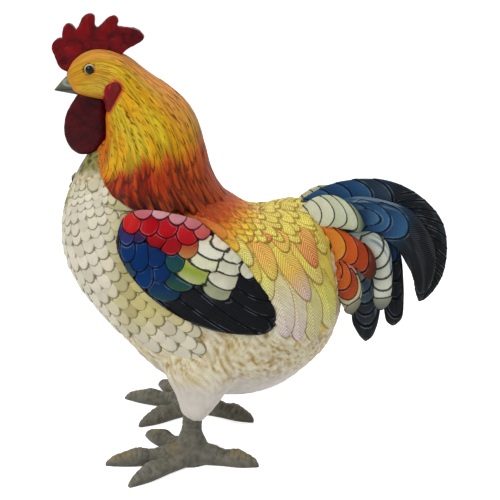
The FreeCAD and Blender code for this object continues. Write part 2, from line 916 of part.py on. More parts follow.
def centred(nodes):
    """The pieces moved so that the origin lies on the ground under the middle of the whole."""
    box = Part.makeCompound(list(nodes.values())).optimalBoundingBox(False, False)
    shift = Vector(-(box.XMin + box.XMax) / 2, -(box.YMin + box.YMax) / 2, -box.ZMin)
    for shape in nodes.values():
        shape.translate(shift)
    return shift


def write_parts(nodes):
    """One STEP file for each piece."""
    os.makedirs("parts", exist_ok=True)
    for name, shape in nodes.items():
        shape.exportStep(os.path.join("parts", name + ".step"))
        box = shape.optimalBoundingBox(False, False)
        sizes = (box.XLength, box.YLength, box.ZLength)
        print(name, len(shape.Solids), round(shape.Volume), [round(size, 1) for size in sizes])


pieces = build_all()
moved = centred(pieces)
print("moved by", [round(value, 2) for value in moved])
write_parts(pieces)
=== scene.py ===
# %% [markdown]
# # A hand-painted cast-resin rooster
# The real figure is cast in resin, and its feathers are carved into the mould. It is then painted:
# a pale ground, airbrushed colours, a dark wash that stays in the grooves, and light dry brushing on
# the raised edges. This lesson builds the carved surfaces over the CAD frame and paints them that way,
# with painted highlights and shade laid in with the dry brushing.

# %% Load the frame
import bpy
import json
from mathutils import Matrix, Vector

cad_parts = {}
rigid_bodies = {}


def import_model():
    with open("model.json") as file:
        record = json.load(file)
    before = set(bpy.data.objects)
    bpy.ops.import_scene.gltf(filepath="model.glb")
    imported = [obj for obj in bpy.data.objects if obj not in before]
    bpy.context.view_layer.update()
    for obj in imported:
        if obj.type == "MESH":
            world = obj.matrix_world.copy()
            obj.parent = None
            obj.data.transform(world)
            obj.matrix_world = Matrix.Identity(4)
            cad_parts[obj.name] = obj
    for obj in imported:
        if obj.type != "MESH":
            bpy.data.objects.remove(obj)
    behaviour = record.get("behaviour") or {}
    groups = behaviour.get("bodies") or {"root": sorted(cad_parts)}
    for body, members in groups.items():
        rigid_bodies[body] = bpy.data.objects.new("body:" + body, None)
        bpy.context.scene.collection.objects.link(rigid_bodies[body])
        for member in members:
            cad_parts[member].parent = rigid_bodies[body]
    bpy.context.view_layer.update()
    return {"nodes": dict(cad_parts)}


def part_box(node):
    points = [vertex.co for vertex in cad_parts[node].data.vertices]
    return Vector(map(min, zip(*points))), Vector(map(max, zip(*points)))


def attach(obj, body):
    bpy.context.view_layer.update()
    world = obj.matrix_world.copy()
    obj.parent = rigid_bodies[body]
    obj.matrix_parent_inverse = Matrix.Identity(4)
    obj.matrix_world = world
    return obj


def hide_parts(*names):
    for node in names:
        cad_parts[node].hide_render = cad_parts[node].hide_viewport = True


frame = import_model()
print("frame:", len(frame["nodes"]), "nodes")

# %% Tools from Blender and Python
import json
import math
import bpy
import numpy as np
from mathutils import Vector
from mathutils.bvhtree import BVHTree

MM = 0.001  # the sizes here are in millimetres, and Blender's are in metres
rng = np.random.default_rng(7)

# %% [markdown]
# ## Colour and nodes
# Paint is named by its sRGB hex value, as on a screen, and one function turns it to the linear light
# that the renderer mixes. One more function adds a node with its settings and links, so that a
# material reads from top to bottom like a recipe.

# %% Colours and one function for nodes
def linear(colour):
    """An sRGB hex value as linear red, green and blue."""
    value = np.array([int(colour[i : i + 2], 16) / 255 for i in (1, 3, 5)])
    return np.where(value <= 0.04045, value / 12.92, ((value + 0.055) / 1.055) ** 2.4)


def blended(below, above, share):
    """One colour over another, by a share from 0 to 1 at each point."""
    below, above = (linear(colour) if isinstance(colour, str) else colour for colour in (below, above))
    return below * (1 - share[..., None]) + above * share[..., None]


def add(tree, kind, feeds=(), out=0, stops=(), **settings):
    """A node with its settings, which answers with one of its outputs. Feeds are its inputs, in
    order or by name: an output to link, a colour, or a plain value."""
    made = tree.nodes.new(kind)
    for name, value in settings.items():
        setattr(made, name, value)
    for name, value in feeds.items() if isinstance(feeds, dict) else enumerate(feeds):
        if isinstance(value, bpy.types.NodeSocket):
            tree.links.new(value, made.inputs[name])
        elif isinstance(value, str) and value.startswith("#"):
            made.inputs[name].default_value = (*linear(value), 1.0)
        else:
            made.inputs[name].default_value = value
    for index, (place, value) in enumerate(stops):
        ramp = made.color_ramp.elements
        stop = ramp[index] if index < 2 else ramp.new(place)
        stop.position = place
        stop.color = (*linear(value), 1.0)
    return made.outputs[out] if len(made.outputs) else made


# %% A new material and a new object
def fresh_material(name):
    """A material with an empty node tree, and that tree."""
    material = bpy.data.materials.new(name)
    material.use_nodes = True
    material.node_tree.nodes.clear()
    return material, material.node_tree


def put(name, data):
    """An object for a mesh, a lamp or a camera, in the scene."""
    made = bpy.data.objects.new(name, data)
    bpy.context.scene.collection.objects.link(made)
    return made


# %% [markdown]
# ## Surfaces
# Every carved surface starts from the CAD. Rays go from outside towards a line through the middle of
# a casting, and where they land gives a smooth grid of points. The relief is then pushed in or out
# along the surface's own direction, so the size always stays the frame's size.

# %% Finding the outside of a casting
def joined(names):
    """The corners and the faces of some CAD nodes, as if they were one mesh."""
    corners, faces = [], []
    for name in names:
        mesh = frame["nodes"][name].data
        start = len(corners)
        corners.extend(v.co.copy() for v in mesh.vertices)
        faces.extend([start + i for i in face.vertices] for face in mesh.polygons)
    return corners, faces


def skin_of(*names):
    """A tree of some CAD nodes' faces, for finding points on them."""
    return BVHTree.FromPolygons(*joined(names))


def landing(tree, origin, direction, instead=None):
    """Where a ray lands. Where it misses, the place of the casting nearest to another point."""
    hit = tree.ray_cast(Vector(origin), Vector(direction))[0]
    if hit is None and instead is not None:
        hit = tree.find_nearest(Vector(instead))[0]
    return np.array(hit if hit else origin)


# %% Smooth rows through hand-set rows
def through(table, count, closed=False):
    """A smooth run of rows through the rows of a table."""
    table = np.asarray(table, float)
    if closed:
        padded = np.concatenate([table[-1:], table, table[:2]])
        places = np.arange(count) * len(table) / count
    else:
        ends = 2 * table[:1] - table[1:2], 2 * table[-1:] - table[-2:-1]
        padded = np.concatenate([ends[0], table, ends[1]])
        places = np.linspace(0, len(table) - 1, count)
    step = np.clip(places.astype(int), 0, len(padded) - 4)
    part = (places - step).reshape((-1,) + (1,) * (table.ndim - 1))
    a, b, c, d = (padded[step + i] for i in range(4))
    bend = (2 * a - 5 * b + 4 * c - d) * part**2 + (3 * b - a - 3 * c + d) * part**3
    return 0.5 * (2 * b + (c - a) * part + bend)


def finer(points, rows, columns, closed=False):
    """The same grid of points with more rows and columns."""
    taller = through(points, rows)
    return through(taller.swapaxes(0, 1), columns, closed).swapaxes(0, 1)


def run_along(path):
    """The length from the first row of points to each row, as the mean of its columns."""
    steps = np.linalg.norm(np.diff(path, axis=0), axis=-1)
    steps = steps.mean(axis=1) if steps.ndim > 1 else steps
    return np.concatenate([[0], np.cumsum(steps)])


def facing(points, closed=False):
    """The direction in which a grid of points faces at each point."""
    down = np.gradient(points, axis=0)
    if closed:
        over = (np.roll(points, -1, 1) - np.roll(points, 1, 1)) / 2
    else:
        over = np.gradient(points, axis=1)
    out = np.cross(over, down)
    return out / np.maximum(np.linalg.norm(out, axis=-1, keepdims=True), 1e-12)


# %% Random swells, the same each time
def cloud(points, size, seed=0):
    """Smooth random heights from -1 to 1 over places in millimetres. Size is one swell's length."""
    places = np.asarray(points, float) / size
    cell = np.floor(places).astype(np.int64)
    part = places - cell
    part = part * part * (3 - 2 * part)
    primes = np.array([73856093, 19349663, 83492791])[: places.shape[-1]]
    total = np.zeros(places.shape[:-1])
    for corner in np.ndindex(*(2,) * places.shape[-1]):
        mixed = ((cell + corner) * primes).sum(-1) ^ (seed * 40503 + 977)
        mixed = ((mixed ^ (mixed >> 13)) * 1274126177) & 0x7FFFFFFF
        mixed = ((mixed ^ (mixed >> 15)) * 668265263) & 0x7FFFFFFF
        weight = np.prod(np.where(corner, part, 1 - part), axis=-1)
        total += weight * (mixed / 0x7FFFFFFF * 2 - 1)
    return total


def ease(value, low, high):
    """0 below low, 1 above high, and a smooth rise between them."""
    share = np.clip((value - low) / (high - low), 0, 1)
    return share * share * (3 - 2 * share)


def rounded(share):
    """A quarter circle: 0 at 0, steep at first, and level at 1."""
    return np.sqrt(np.clip(1 - (1 - np.clip(share, 0, 1)) ** 2, 0, 1))


# %% Making a mesh piece
NO_BARBS = -0.064  # the count at which a barb's dark and lit strands are both out


def make_piece(name, points, faces, material, marks):
    """A smooth mesh piece. Marks are numbers or colours kept at each point for its paint."""
    mesh = bpy.data.meshes.new(name)
    mesh.from_pydata(points.tolist(), [], [[int(corner) for corner in face] for face in faces])
    if marks:
        marks = {"barb": np.full(len(points), NO_BARBS), **marks}
    for mark, values in marks.items():
        kind, key = ("FLOAT_COLOR", "color") if values.ndim > 1 else ("FLOAT", "value")
        if kind == "FLOAT_COLOR":
            values = np.concatenate([values, np.ones((len(values), 1))], axis=1)
        mesh.attributes.new(mark, kind, "POINT").data.foreach_set(key, values.ravel())
    mesh.polygons.foreach_set("use_smooth", [True] * len(mesh.polygons))
    mesh.materials.append(material)
    mesh.update()
    print(name, len(mesh.polygons), "faces")
    return put(name, mesh)


# %% Turning a grid of points into a piece
def closing(ring):
    """Faces that close an even ring of points, in strips across it."""
    return [[ring[i], ring[i + 1], ring[-2 - i], ring[-1 - i]] for i in range(len(ring) // 2 - 1)]


def grid_piece(name, points, material, marks, closed=False, keep=None, tips=(False, False)):
    """A piece from a grid of points. Faces whose corners are all outside keep are left out, and
    tips says which ends of a closed grid are filled."""
    rows, columns = points.shape[:2]
    index = np.arange(rows * columns).reshape(rows, columns)
    left = index if closed else index[:, :-1]
    right = np.roll(index, -1, 1) if closed else index[:, 1:]
    faces = np.stack([left[:-1], left[1:], right[1:], right[:-1]], axis=-1).reshape(-1, 4)
    flat = points.reshape(-1, 3)
    marks = {mark: values.reshape((len(flat),) + values.shape[2:]) for mark, values in marks.items()}
    if keep is not None:
        faces = faces[keep.ravel()[faces].any(axis=1)]
        used, faces = np.unique(faces, return_inverse=True)
        faces = faces.reshape(-1, 4)
        flat = flat[used]
        marks = {mark: values[used] for mark, values in marks.items()}
    faces = list(faces)
    for filled, ring in zip(tips, (index[0][::-1], index[-1])):
        if filled:
            faces.extend(closing(ring))
    return make_piece(name, flat, faces, material, marks)


# %% [markdown]
# ## Laying feathers
# A feather is laid over those already there, as a carver would draw it: from its root to its tip, so
# wide, rounded or pointed. Each one raises the surface under it, rounds its own edge down to what it
# lies on, and keeps how far each point is from the nearest drawn edge. The dark wash follows that.

# %% An empty relief, and colours along a feather
EMPTY_HEIGHT, FAR_FROM_GROOVES = -1.4, 6.0  # mm: uncovered places lie low, and the wash stays off them


def bare(s, t):
    """An empty relief over points whose places in the drawing are s and t millimetres."""
    return {
        "s": s,
        "t": t,
        "height": np.full(s.shape, EMPTY_HEIGHT),
        "groove": np.full(s.shape, FAR_FROM_GROOVES),
        "barb": np.full(s.shape, NO_BARBS),
        "covered": np.zeros(s.shape, bool),
        "paint": np.zeros(s.shape + (3,)),
    }


def gradient(share, colours):
    """Colours along a feather, from its root to its tip."""
    table = np.array([linear(colour) for colour in colours])
    places = np.linspace(0, 1, len(table))
    return np.stack([np.interp(share, places, table[:, i]) for i in range(3)], axis=-1)


# %% One feather
def lay(relief, root, tip, width, colours, level=0.0, rise=0.8, pillow=0.4, bow=0.0, blunt=0.4,
        waist=0.6, soft=0.9, barb=None, rib=0.0, lines=1.0):
    """One feather: level is its root's height, rise what its tip adds, and pillow its crown, in mm.
    Blunt is the share of its length that is rounded, waist its width at the root, and bow its bend.
    Barb is the barbs' pitch and slope. Lines above 1 give its edge a broader wash."""
    root, tip = np.array(root, float), np.array(tip, float)
    length = float(np.hypot(*(tip - root)))
    way = (tip - root) / length
    ds, dt = relief["s"] - root[0], relief["t"] - root[1]
    near = np.abs(ds * way[0] + dt * way[1] - length / 2) < length * 0.75 + 3
    near &= np.abs(ds * way[1] - dt * way[0]) < width + abs(bow) * length + 3
    if not near.any():
        return
    ds, dt = ds[near], dt[near]
    a = (ds * way[0] + dt * way[1]) / length
    b = dt * way[0] - ds * way[1] - bow * length * 4 * a * (1 - a)
    half = width / 2
    full = half * (waist + (1 - waist) * ease(a, 0.0, 1 - blunt))
    over = np.clip((a - (1 - blunt)) / blunt, 0, None)
    rounded_edge = (1 - np.hypot(over, b / half)) * min(half, blunt * length)
    edge = np.where(over > 0, rounded_edge, full - np.abs(b))
    edge = np.minimum(edge, a * length)
    on = edge > 0
    round_off = rounded(edge / soft)
    crown = 1 - np.clip(np.abs(b) / np.maximum(full, 0.1), 0, 1) ** 2
    target = level + rise * np.clip(a, 0, 1) + pillow * crown + rib * np.exp(-((b / 0.7) ** 2))
    pitch, slope = barb or (1.0, 0.0)
    strands = (a * length - slope * np.abs(b)) / pitch if barb else np.full(a.shape, NO_BARBS)
    height, groove = relief["height"][near], relief["groove"][near]
    relief["height"][near] = np.where(on, height + (target - height) * round_off, height)
    relief["groove"][near] = np.where(on, edge / lines, np.minimum(groove, -edge / lines))
    relief["barb"][near] = np.where(on, strands, relief["barb"][near])
    relief["covered"][near] |= on
    colour = gradient(np.clip(a, 0, 1), colours)
    relief["paint"][near] = np.where(on[:, None], colour, relief["paint"][near])


def paint_marks(relief, **more):
    """What a relief's paint needs to know at each point."""
    return {mark: relief[mark] for mark in ("paint", "groove", "barb")} | more


# %% [markdown]
# ## Paints
# All the paint is acrylic over cast resin with a satin lacquer, so every coat shares one recipe: the
# airbrushed colour kept on the piece, a dark wash where the drawn edges are near, fine mottling, and
# a soft lacquer gloss. Only the wash colour, its width and the gloss differ.

# %% Strands along the barbs
COLOUR_MIX = {"out": 2, "data_type": "RGBA"}  # a Mix node that lays one colour over another


def stranded(tree, colour, barbs, strand, lit):
    """A dark hair and a lit one on each barb. The lit one is a painted highlight on the barb's raised crest.
    Each is a colour and how much of it shows.
    """
    dark = add(tree, "ShaderNodeMapRange", [barbs, -1.0, 0.1, strand[1], 0.0])
    colour = add(tree, "ShaderNodeMix", {0: dark, 6: colour, 7: strand[0]}, **COLOUR_MIX)
    light = add(tree, "ShaderNodeMapRange", [barbs, 0.3, 1.0, 0.0, lit[1]])
    return add(tree, "ShaderNodeMix", {0: light, 6: colour, 7: lit[0]}, **COLOUR_MIX)


# %% Dashes of a fine brush
LONG_DASHES = {"wide": 0.75, "long": 14.0, "start": 0.45, "full": 0.65, "share": 0.3}
SHORT_DASHES = {"wide": 0.8, "long": 8.0, "start": 0.6, "full": 0.635, "share": 0.8}


def dashed(tree, colour, height, dash):
    """Dashes along the flow: long faint ones all over, and short dark ones where the piece is marked
    for them. They are pressed in a little."""
    across, along, shown = (add(tree, "ShaderNodeAttribute", out="Fac", attribute_name=mark)
                            for mark in ("across", "along", "dashed"))
    for kind, part in ((LONG_DASHES, 0.5), (SHORT_DASHES, shown)):
        x = add(tree, "ShaderNodeMath", [across, kind["wide"]], operation="DIVIDE")
        y = add(tree, "ShaderNodeMath", [along, kind["long"]], operation="DIVIDE")
        spot = add(tree, "ShaderNodeCombineXYZ", [x, y, kind["wide"]])
        hairs = add(tree, "ShaderNodeTexNoise", {"Vector": spot, "Scale": 1.0, "Detail": 1.0})
        drawn = add(tree, "ShaderNodeMapRange", [hairs, kind["start"], kind["full"], 0.0, kind["share"]],
                    interpolation_type="SMOOTHSTEP")
        share = add(tree, "ShaderNodeMath", [drawn, part], operation="MULTIPLY")
        colour = add(tree, "ShaderNodeMix", {0: share, 6: colour, 7: dash}, **COLOUR_MIX)
        height = add(tree, "ShaderNodeMath", [drawn, -1.2, height], operation="MULTIPLY_ADD")
    return colour, height


# %% The dark wash and a rim of dry brushing and painted highlight
BLUR = 0.25  # mm by which the specks move the wash's edge out on average


def washed(tree, colour, away, patches, wash, reach, strength, rim):
    """A dark wash in the grooves, and the rim's colour here and there just beside it: dry brushing and a
    painted highlight.
    """
    dark = add(tree, "ShaderNodeMapRange", [away, reach[0] + BLUR, reach[1] + BLUR, strength, 0.0],
               interpolation_type="SMOOTHSTEP")
    colour = add(tree, "ShaderNodeMix", {0: dark, 6: colour, 7: wash}, **COLOUR_MIX)
    if rim is None:
        return colour
    beside = add(tree, "ShaderNodeMath", [away, reach[1] + 0.55], operation="SUBTRACT")
    beside = add(tree, "ShaderNodeMath", [beside], operation="ABSOLUTE")
    edge = add(tree, "ShaderNodeMapRange", [beside, 0.0, 0.45, 1.0, 0.0], interpolation_type="SMOOTHSTEP")
    # The rim's painted highlight shows in patches.
    dry_brush_and_painted_light = add(tree, "ShaderNodeMapRange", [patches, 0.48, 0.62, 0.0, rim[1]])
    share = add(tree, "ShaderNodeMath", [edge, dry_brush_and_painted_light], operation="MULTIPLY")
    return add(tree, "ShaderNodeMix", {0: share, 6: colour, 7: rim[0]}, **COLOUR_MIX)


# %% The painted resin recipe
def painted(name, wash, reach=(0.25, 0.95), strength=0.85, strand=None, lit=None, rim=None, dash=None,
            rough=0.42, shine=0.12, coat=0.0, speck=0.07, grain=0.5):
    """Acrylic paint on resin. Reach is the wash's dark core and its faded rim, in millimetres. Shine
    is low, because the dry-brushed paint is dusty and a brighter gloss would grey its darks."""
    material, tree = fresh_material(name)
    paint = add(tree, "ShaderNodeAttribute", attribute_name="paint")
    groove, cycle = (add(tree, "ShaderNodeAttribute", out="Fac", attribute_name=mark)
                     for mark in ("groove", "barb"))
    place = add(tree, "ShaderNodeTexCoord", out="Object")
    # Mottling of about 9 mm from the sponge, and specks of about 1 mm from the brush.
    patches, specks = (add(tree, "ShaderNodeTexNoise", {"Vector": place, "Scale": scale, "Detail": detail})
                       for scale, detail in ((110.0, 3.0), (900.0, 2.0)))
    mottle = add(tree, "ShaderNodeMapRange", [patches, 0.3, 0.7, 1 - speck, 1 + speck])
    fine = add(tree, "ShaderNodeMapRange", [specks, 0.3, 0.7, 1 - speck * 0.6, 1 + speck * 0.6])
    tone = add(tree, "ShaderNodeMath", [mottle, fine], operation="MULTIPLY")
    colour = add(tree, "ShaderNodeVectorMath", {0: paint, "Scale": tone}, operation="SCALE")
    # The barb count turns a wave, and the specks make its hairs uneven.
    count = add(tree, "ShaderNodeMath", [cycle, 2 * math.pi], operation="MULTIPLY")
    uneven = add(tree, "ShaderNodeMath", [specks, 1.2, count], operation="MULTIPLY_ADD")
    barbs = add(tree, "ShaderNodeMath", [uneven], operation="SINE")
    height = add(tree, "ShaderNodeMath", [barbs, 0.35 if strand else 0.0, specks], operation="MULTIPLY_ADD")
    if strand:
        colour = stranded(tree, colour, barbs, strand, lit)
    if dash:
        colour, height = dashed(tree, colour, height, dash)
    away = add(tree, "ShaderNodeMath", [specks, 0.5, groove], operation="MULTIPLY_ADD")
    colour = washed(tree, colour, away, patches, wash, reach, strength, rim)
    bump = add(tree, "ShaderNodeBump", {"Strength": grain, "Distance": 0.0003, "Height": height})
    gloss = add(tree, "ShaderNodeMapRange", [patches, 0.3, 0.7, rough - 0.06, rough + 0.06])
    shader = add(tree, "ShaderNodeBsdfPrincipled", {
        "Base Color": colour, "Roughness": gloss, "Normal": bump, "IOR": 1.49, "Specular IOR Level": shine,
        "Coat Weight": coat, "Coat Roughness": 0.3})
    add(tree, "ShaderNodeOutputMaterial", {"Surface": shader})
    return material


# %% Wash and gloss for each part of the bird
# Cream acrylic under a broad olive wash, which stays soft between the breast scales.
breast_paint = painted("acrylic_cream_olive_wash", "#6a6230", reach=(0.35, 1.5), strength=0.75)
# Gold acrylic with brown brush dashes along the neck.
hackle_paint = painted("acrylic_gold_brown_wash", "#33150a", reach=(0.12, 0.5), dash="#4a240c", shine=0.1)
# Deep colours with nearly black edges, so the wing reads as separate tiles. The pale rim and the lit barb
# hairs are painted highlights, and the rim is partly dry brushing.
wing_paint = painted("acrylic_wing_black_wash", "#050608", reach=(0.2, 0.6), strength=0.92, rough=0.34,
                     strand=("#050608", 0.2), lit=("#8f95a0", 0.06), rim=("#a4adbf", 0.2), shine=0.035)
# Yellow acrylic with tan hairs and pale ones that are painted highlights on the barbs, under a thin umber
# wash.
saddle_paint = painted("acrylic_saddle_umber_wash", "#8a5216", reach=(0.1, 0.5), strength=0.6, grain=0.8,
                       strand=("#b8742a", 0.36), lit=("#fff6cc", 0.5), dash="#7a3612", shine=0.1)
# Blue, orange and cream plumes with black grooves, a grey rim and lit barb hairs: painted highlights, and the
# rim is partly dry brushing.
plume_paint = painted("acrylic_plume_black_wash", "#050608", reach=(0.2, 0.6), strength=0.9, shine=0.04,
                      strand=("#0c1016", 0.16), lit=("#c9d2cc", 0.05), rim=("#a9b6bc", 0.22))
print("paints:", len(bpy.data.materials))

# %% [markdown]
# ## The side drawing
# Wing and saddle feathers are laid out on a drawing of the bird's side, seen 25 degrees from above,
# because from there both the flank and the back show. A point of the drawing is carried on to the
# body along that line of sight, and the far side gets the mirrored drawing.

# %% The drawing's millimetres
TILT = math.radians(25)
middle_y = sum(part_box("body_shell")[i].y for i in (0, 1)) / 2
body_skin = skin_of("body_shell")


def drawn_at(points):
    """A point's place in the side drawing, from either side of the bird."""
    out = -np.abs(points[..., 1] - middle_y)
    height = points[..., 2] * math.cos(TILT) + out * math.sin(TILT)
    return points[..., 0] / MM, height / MM


print("middle of the bird at y =", round(middle_y / MM, 2), "mm")

# %% [markdown]
# ## The body and thighs
# The real body is one hollow casting with the thighs glued on and the joint filled, so no seam shows.
# A copy of those castings is joined and wrapped in one skin of small squares with the Remesh
# modifier, which also closes the joint. The fluff is then pushed in as long soft strokes.

# %% A wrapped copy of some castings
def wrapped(name, nodes, square, rounds=6):
    """One skin around copies of CAD nodes, as points, their directions and faces. Square is its
    squares' size in mm, and rounds is how often it is smoothed."""
    corners, faces = joined(nodes)
    mesh = bpy.data.meshes.new(name)
    mesh.from_pydata(corners, [], faces)
    piece = put(name, mesh)
    weld = piece.modifiers.new("weld", "WELD")
    weld.merge_threshold = 0.01 * MM
    skin = piece.modifiers.new("skin", "REMESH")
    skin.mode, skin.voxel_size = "VOXEL", square * MM
    soft = piece.modifiers.new("soft", "SMOOTH")
    soft.factor, soft.iterations = 0.5, rounds
    made = piece.evaluated_get(bpy.context.evaluated_depsgraph_get()).data
    points, normals = np.empty((2, len(made.vertices) * 3))
    made.vertices.foreach_get("co", points)
    made.vertex_normals.foreach_get("vector", normals)
    faces = np.array([tuple(face.vertices) for face in made.polygons])
    bpy.data.objects.remove(piece)
    bpy.data.meshes.remove(mesh)
    return points.reshape(-1, 3), normals.reshape(-1, 3), faces


def outer_part(points, normals, faces):
    """The part of a skin that holds its highest point, without any hollow inside it."""
    label = np.arange(len(points))
    for _ in range(4000):
        lowest = label[faces].min(axis=1)
        new = label.copy()
        np.minimum.at(new, faces.ravel(), np.repeat(lowest, 4))
        new = new[new]
        if (new == label).all():
            break
        label = new
    keep = label == label[points[:, 2].argmax()]
    index = np.cumsum(keep) - 1
    return points[keep], normals[keep], index[faces[keep[faces[:, 0]]]]


# %% The chords across the body
BODY_CHORDS = [(-125, 238, -102, 248), (-134, 224.5, -87, 232), (-140, 210, -68, 223),
               (-146.5, 178.6, -31, 207), (-139.5, 144.4, -8.3, 193), (-107.4, 98, 10.8, 192.3),
               (-61, 53.2, 24.2, 196.4), (-4.4, 44, 37, 194.8), (19.7, 52.2, 45.6, 190),
               (39.6, 67.3, 53.6, 181), (52.7, 80.5, 60, 169), (60.4, 95, 65.1, 151)]  # x, z, x, z in mm
FIRST_REACH, LEAST_REACH = 30 * MM, 3 * MM


def ring_grid(tree, chords, rows, columns, fine_rows, fine_columns, arc=(0.0, 1.0), room=14.0):
    """Points around a casting. Each ring lies along a chord, and starts at the chord's second end.
    A ray starts a little outside the last ring's reach, so that it meets nothing else on its way."""
    closed = arc == (0.0, 1.0)
    table = through(np.array(chords) * MM, rows)
    places = np.linspace(*arc, columns, endpoint=not closed)
    points, reach = np.empty((rows, columns, 3)), np.full(columns, FIRST_REACH)
    for row, (x1, z1, x2, z2) in enumerate(table):
        middle = np.array([(x1 + x2) / 2, middle_y, (z1 + z2) / 2])
        along = np.array([x2 - x1, 0, z2 - z1])
        along /= np.linalg.norm(along)
        for column, share in enumerate(places):
            turn = share * 2 * math.pi
            way = along * math.cos(turn) + np.array([0, -math.sin(turn), 0])
            near = middle + way * reach[column]
            hit = landing(tree, near + way * room * MM, -way, near)
            if (hit - middle) @ way < 0:
                hit = np.array(tree.find_nearest(Vector(near))[0])
            reach[column] = max(LEAST_REACH, float((hit - middle) @ way))
            points[row, column] = hit
    return finer(points, fine_rows, fine_columns, closed)


# %% The body's skin and its strokes
BODY_SQUARE = 1.3  # mm
body_at, body_out, body_faces = outer_part(*wrapped(
    "wrapped_body", ("body_shell", "thigh_left", "thigh_right", "pour_plug"), BODY_SQUARE))
body_x, body_z = body_at[:, 0] / MM, body_at[:, 2] / MM
aside = np.abs(body_at[:, 1] - middle_y)
down = np.array([0.55, 0, -0.83])
print("body skin:", len(body_at), "points")


def strokes(points, length, width, seed):
    """Brush or tool strokes that run down and back, as heights from -1 to 1."""
    run = points @ down / MM
    across = points @ np.array([0.83, 0, 0.55]) / MM
    swing = cloud(points / MM, 22, seed + 5) * 5
    places = np.stack([run / length, (across + swing) / width, points[:, 1] / MM / width], axis=-1)
    return cloud(places, 1.0, seed) * 0.6 + cloud(places * 2.1, 1.0, seed + 1) * 0.4


# %% Fluff under the belly, smooth thighs and a sunk plug
FLUFF_LONG, FLUFF_WIDE, FLUFF_DEEP = 9.0, 1.9, 1.3
PLUG_DEEP = 1.2
low = ease(body_z, 128, 84)
behind = ease(body_x, -95, -45)
fluffy = np.clip(low * 0.8 + behind * ease(body_z, 150, 96), 0, 1)
on_thigh = ease(body_z, 86, 60) * ease(aside / MM, 12, 24)
fluff = strokes(body_at, FLUFF_LONG, FLUFF_WIDE, 3)
body_height = fluff * fluffy * (1 - 0.75 * on_thigh) * FLUFF_DEEP
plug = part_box("pour_plug")
plug_away = np.hypot(body_at[:, 0] - (plug[0].x + plug[1].x) / 2, aside) / MM
at_plug = ease(plug_away, 12.5, 10.5) * (body_at[:, 2] < plug[1].z + 2 * MM)
body_height = body_height * (1 - at_plug) - at_plug * PLUG_DEEP

# %% The body's airbrushed colours
# Paler on the raised fluff strokes and darker in their hollows: dry brushing and painted shade.
dry_brush_and_painted_light = np.clip(0.62 + 1.2 * fluff, 0, 1)
patch = np.clip(0.5 + 0.8 * cloud(body_at / MM, 16, 11), 0, 1)
body_paint = blended(blended("#c2a862", "#a5844a", patch), "#dcd6bd", dry_brush_and_painted_light)
body_s, body_t = drawn_at(body_at)
shoulder = ease(body_s, -76, -66) * ease(body_t, 146, 152)
body_paint = blended(body_paint, "#b8602a", shoulder)
chin = ease(body_t, 192, 204)
# The chin's olive and the thighs' pale paint are darkened in the strokes' hollows too: painted shade.
body_paint = blended(body_paint, linear("#948d52") * dry_brush_and_painted_light[:, None], chin)
body_paint = blended(body_paint, linear("#d6cfc6") * (0.93 + 0.07 * dry_brush_and_painted_light[:, None]), on_thigh)
body = make_piece("body_and_thighs", body_at + body_out * body_height[:, None] * MM, body_faces,
                  breast_paint, {"paint": body_paint, "groove": 1.5 + fluff + 3 * on_thigh})
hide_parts("body_shell", "thigh_left", "thigh_right")

# %% [markdown]
# ## Tail plumes
# Each plume is a thin casting with rounded edges. Rays find both of its faces along chords that cross
# it, which gives rows along the plume and columns around it. The crescents are then laid over each
# other from the root to the tip, in millimetres measured on the plume itself.

# %% The tail's own measures
# In mm: where the plumes start along x, how low they hang, and the tail's length and height.
TAIL_START, TAIL_FOOT, TAIL_LONG, TAIL_HIGH = 31.52, 83.98, 116.0, 134.0
LAYER_GAP = 10.3  # mm between two layers of plumes, before they spread or close up


def tail_point(along, up, layer):
    """A point of the tail from its shares, for a layer left (negative) or right of the middle."""
    spread = 0.92 + 0.25 * along - 0.32 * up
    return np.array([TAIL_START + along * TAIL_LONG, middle_y / MM + layer * LAYER_GAP * spread,
                     TAIL_FOOT + up * TAIL_HIGH]) * MM


# %% A grid around a plume
RAYS_AROUND = 24
TIP_ROUND = 6.0  # mm over which a plume's end closes


def plume_rings(node, chords, layer):
    """Rings of points around a plume, each along a chord across it."""
    tree, rings = skin_of(node), []
    for a1, u1, a2, u2 in through(chords, max(14, 3 * len(chords))):
        outer, inner = tail_point(a1, u1, layer), tail_point(a2, u2, layer)
        middle, reach = (outer + inner) / 2, (inner - outer) / 2
        ring = []
        for step in range(RAYS_AROUND):
            face = np.array([0, 1.0 if step < RAYS_AROUND // 2 else -1.0, 0])
            spot = middle - reach * math.cos(2 * math.pi * step / RAYS_AROUND) * 0.985
            hit = landing(tree, spot + face * 60 * MM, -face)
            ring.append(hit if abs(hit[1] - spot[1]) < 30 * MM else spot)
        rings.append(ring)
    return np.array(rings)


def plume_grid(node, chords, layer, rows, columns):
    """Rows along a plume and columns around it, with each point's place along and across in mm."""
    points = finer(plume_rings(node, chords, layer), rows, columns, closed=True)
    outer, inner = points[:, 0], points[:, columns // 2]
    reach = np.linalg.norm(inner - outer, axis=1, keepdims=True)
    across = np.einsum("rcx,rx->rc", points - outer[:, None], (inner - outer) / reach) - reach / 2
    centre = (outer + inner) / 2
    steps = run_along(centre)
    along = np.repeat(steps[:, None], columns, axis=1)
    left = np.clip((steps[-1] - steps) / (TIP_ROUND * MM), 0, 1)
    narrowed = np.sqrt(1 - (1 - left) ** 2 * 0.96)[:, None, None]
    points = centre[:, None] + (points - centre[:, None]) * narrowed
    return points, along / MM, across / MM


# %% Marks on a plume
def ground(relief, colours, length):
    """The plume's own surface under its marks, coloured from its root to its tip."""
    relief["height"][:] = 0.0
    relief["covered"][:] = True
    relief["paint"][:] = gradient(np.clip(relief["t"] / length, 0, 1), colours)


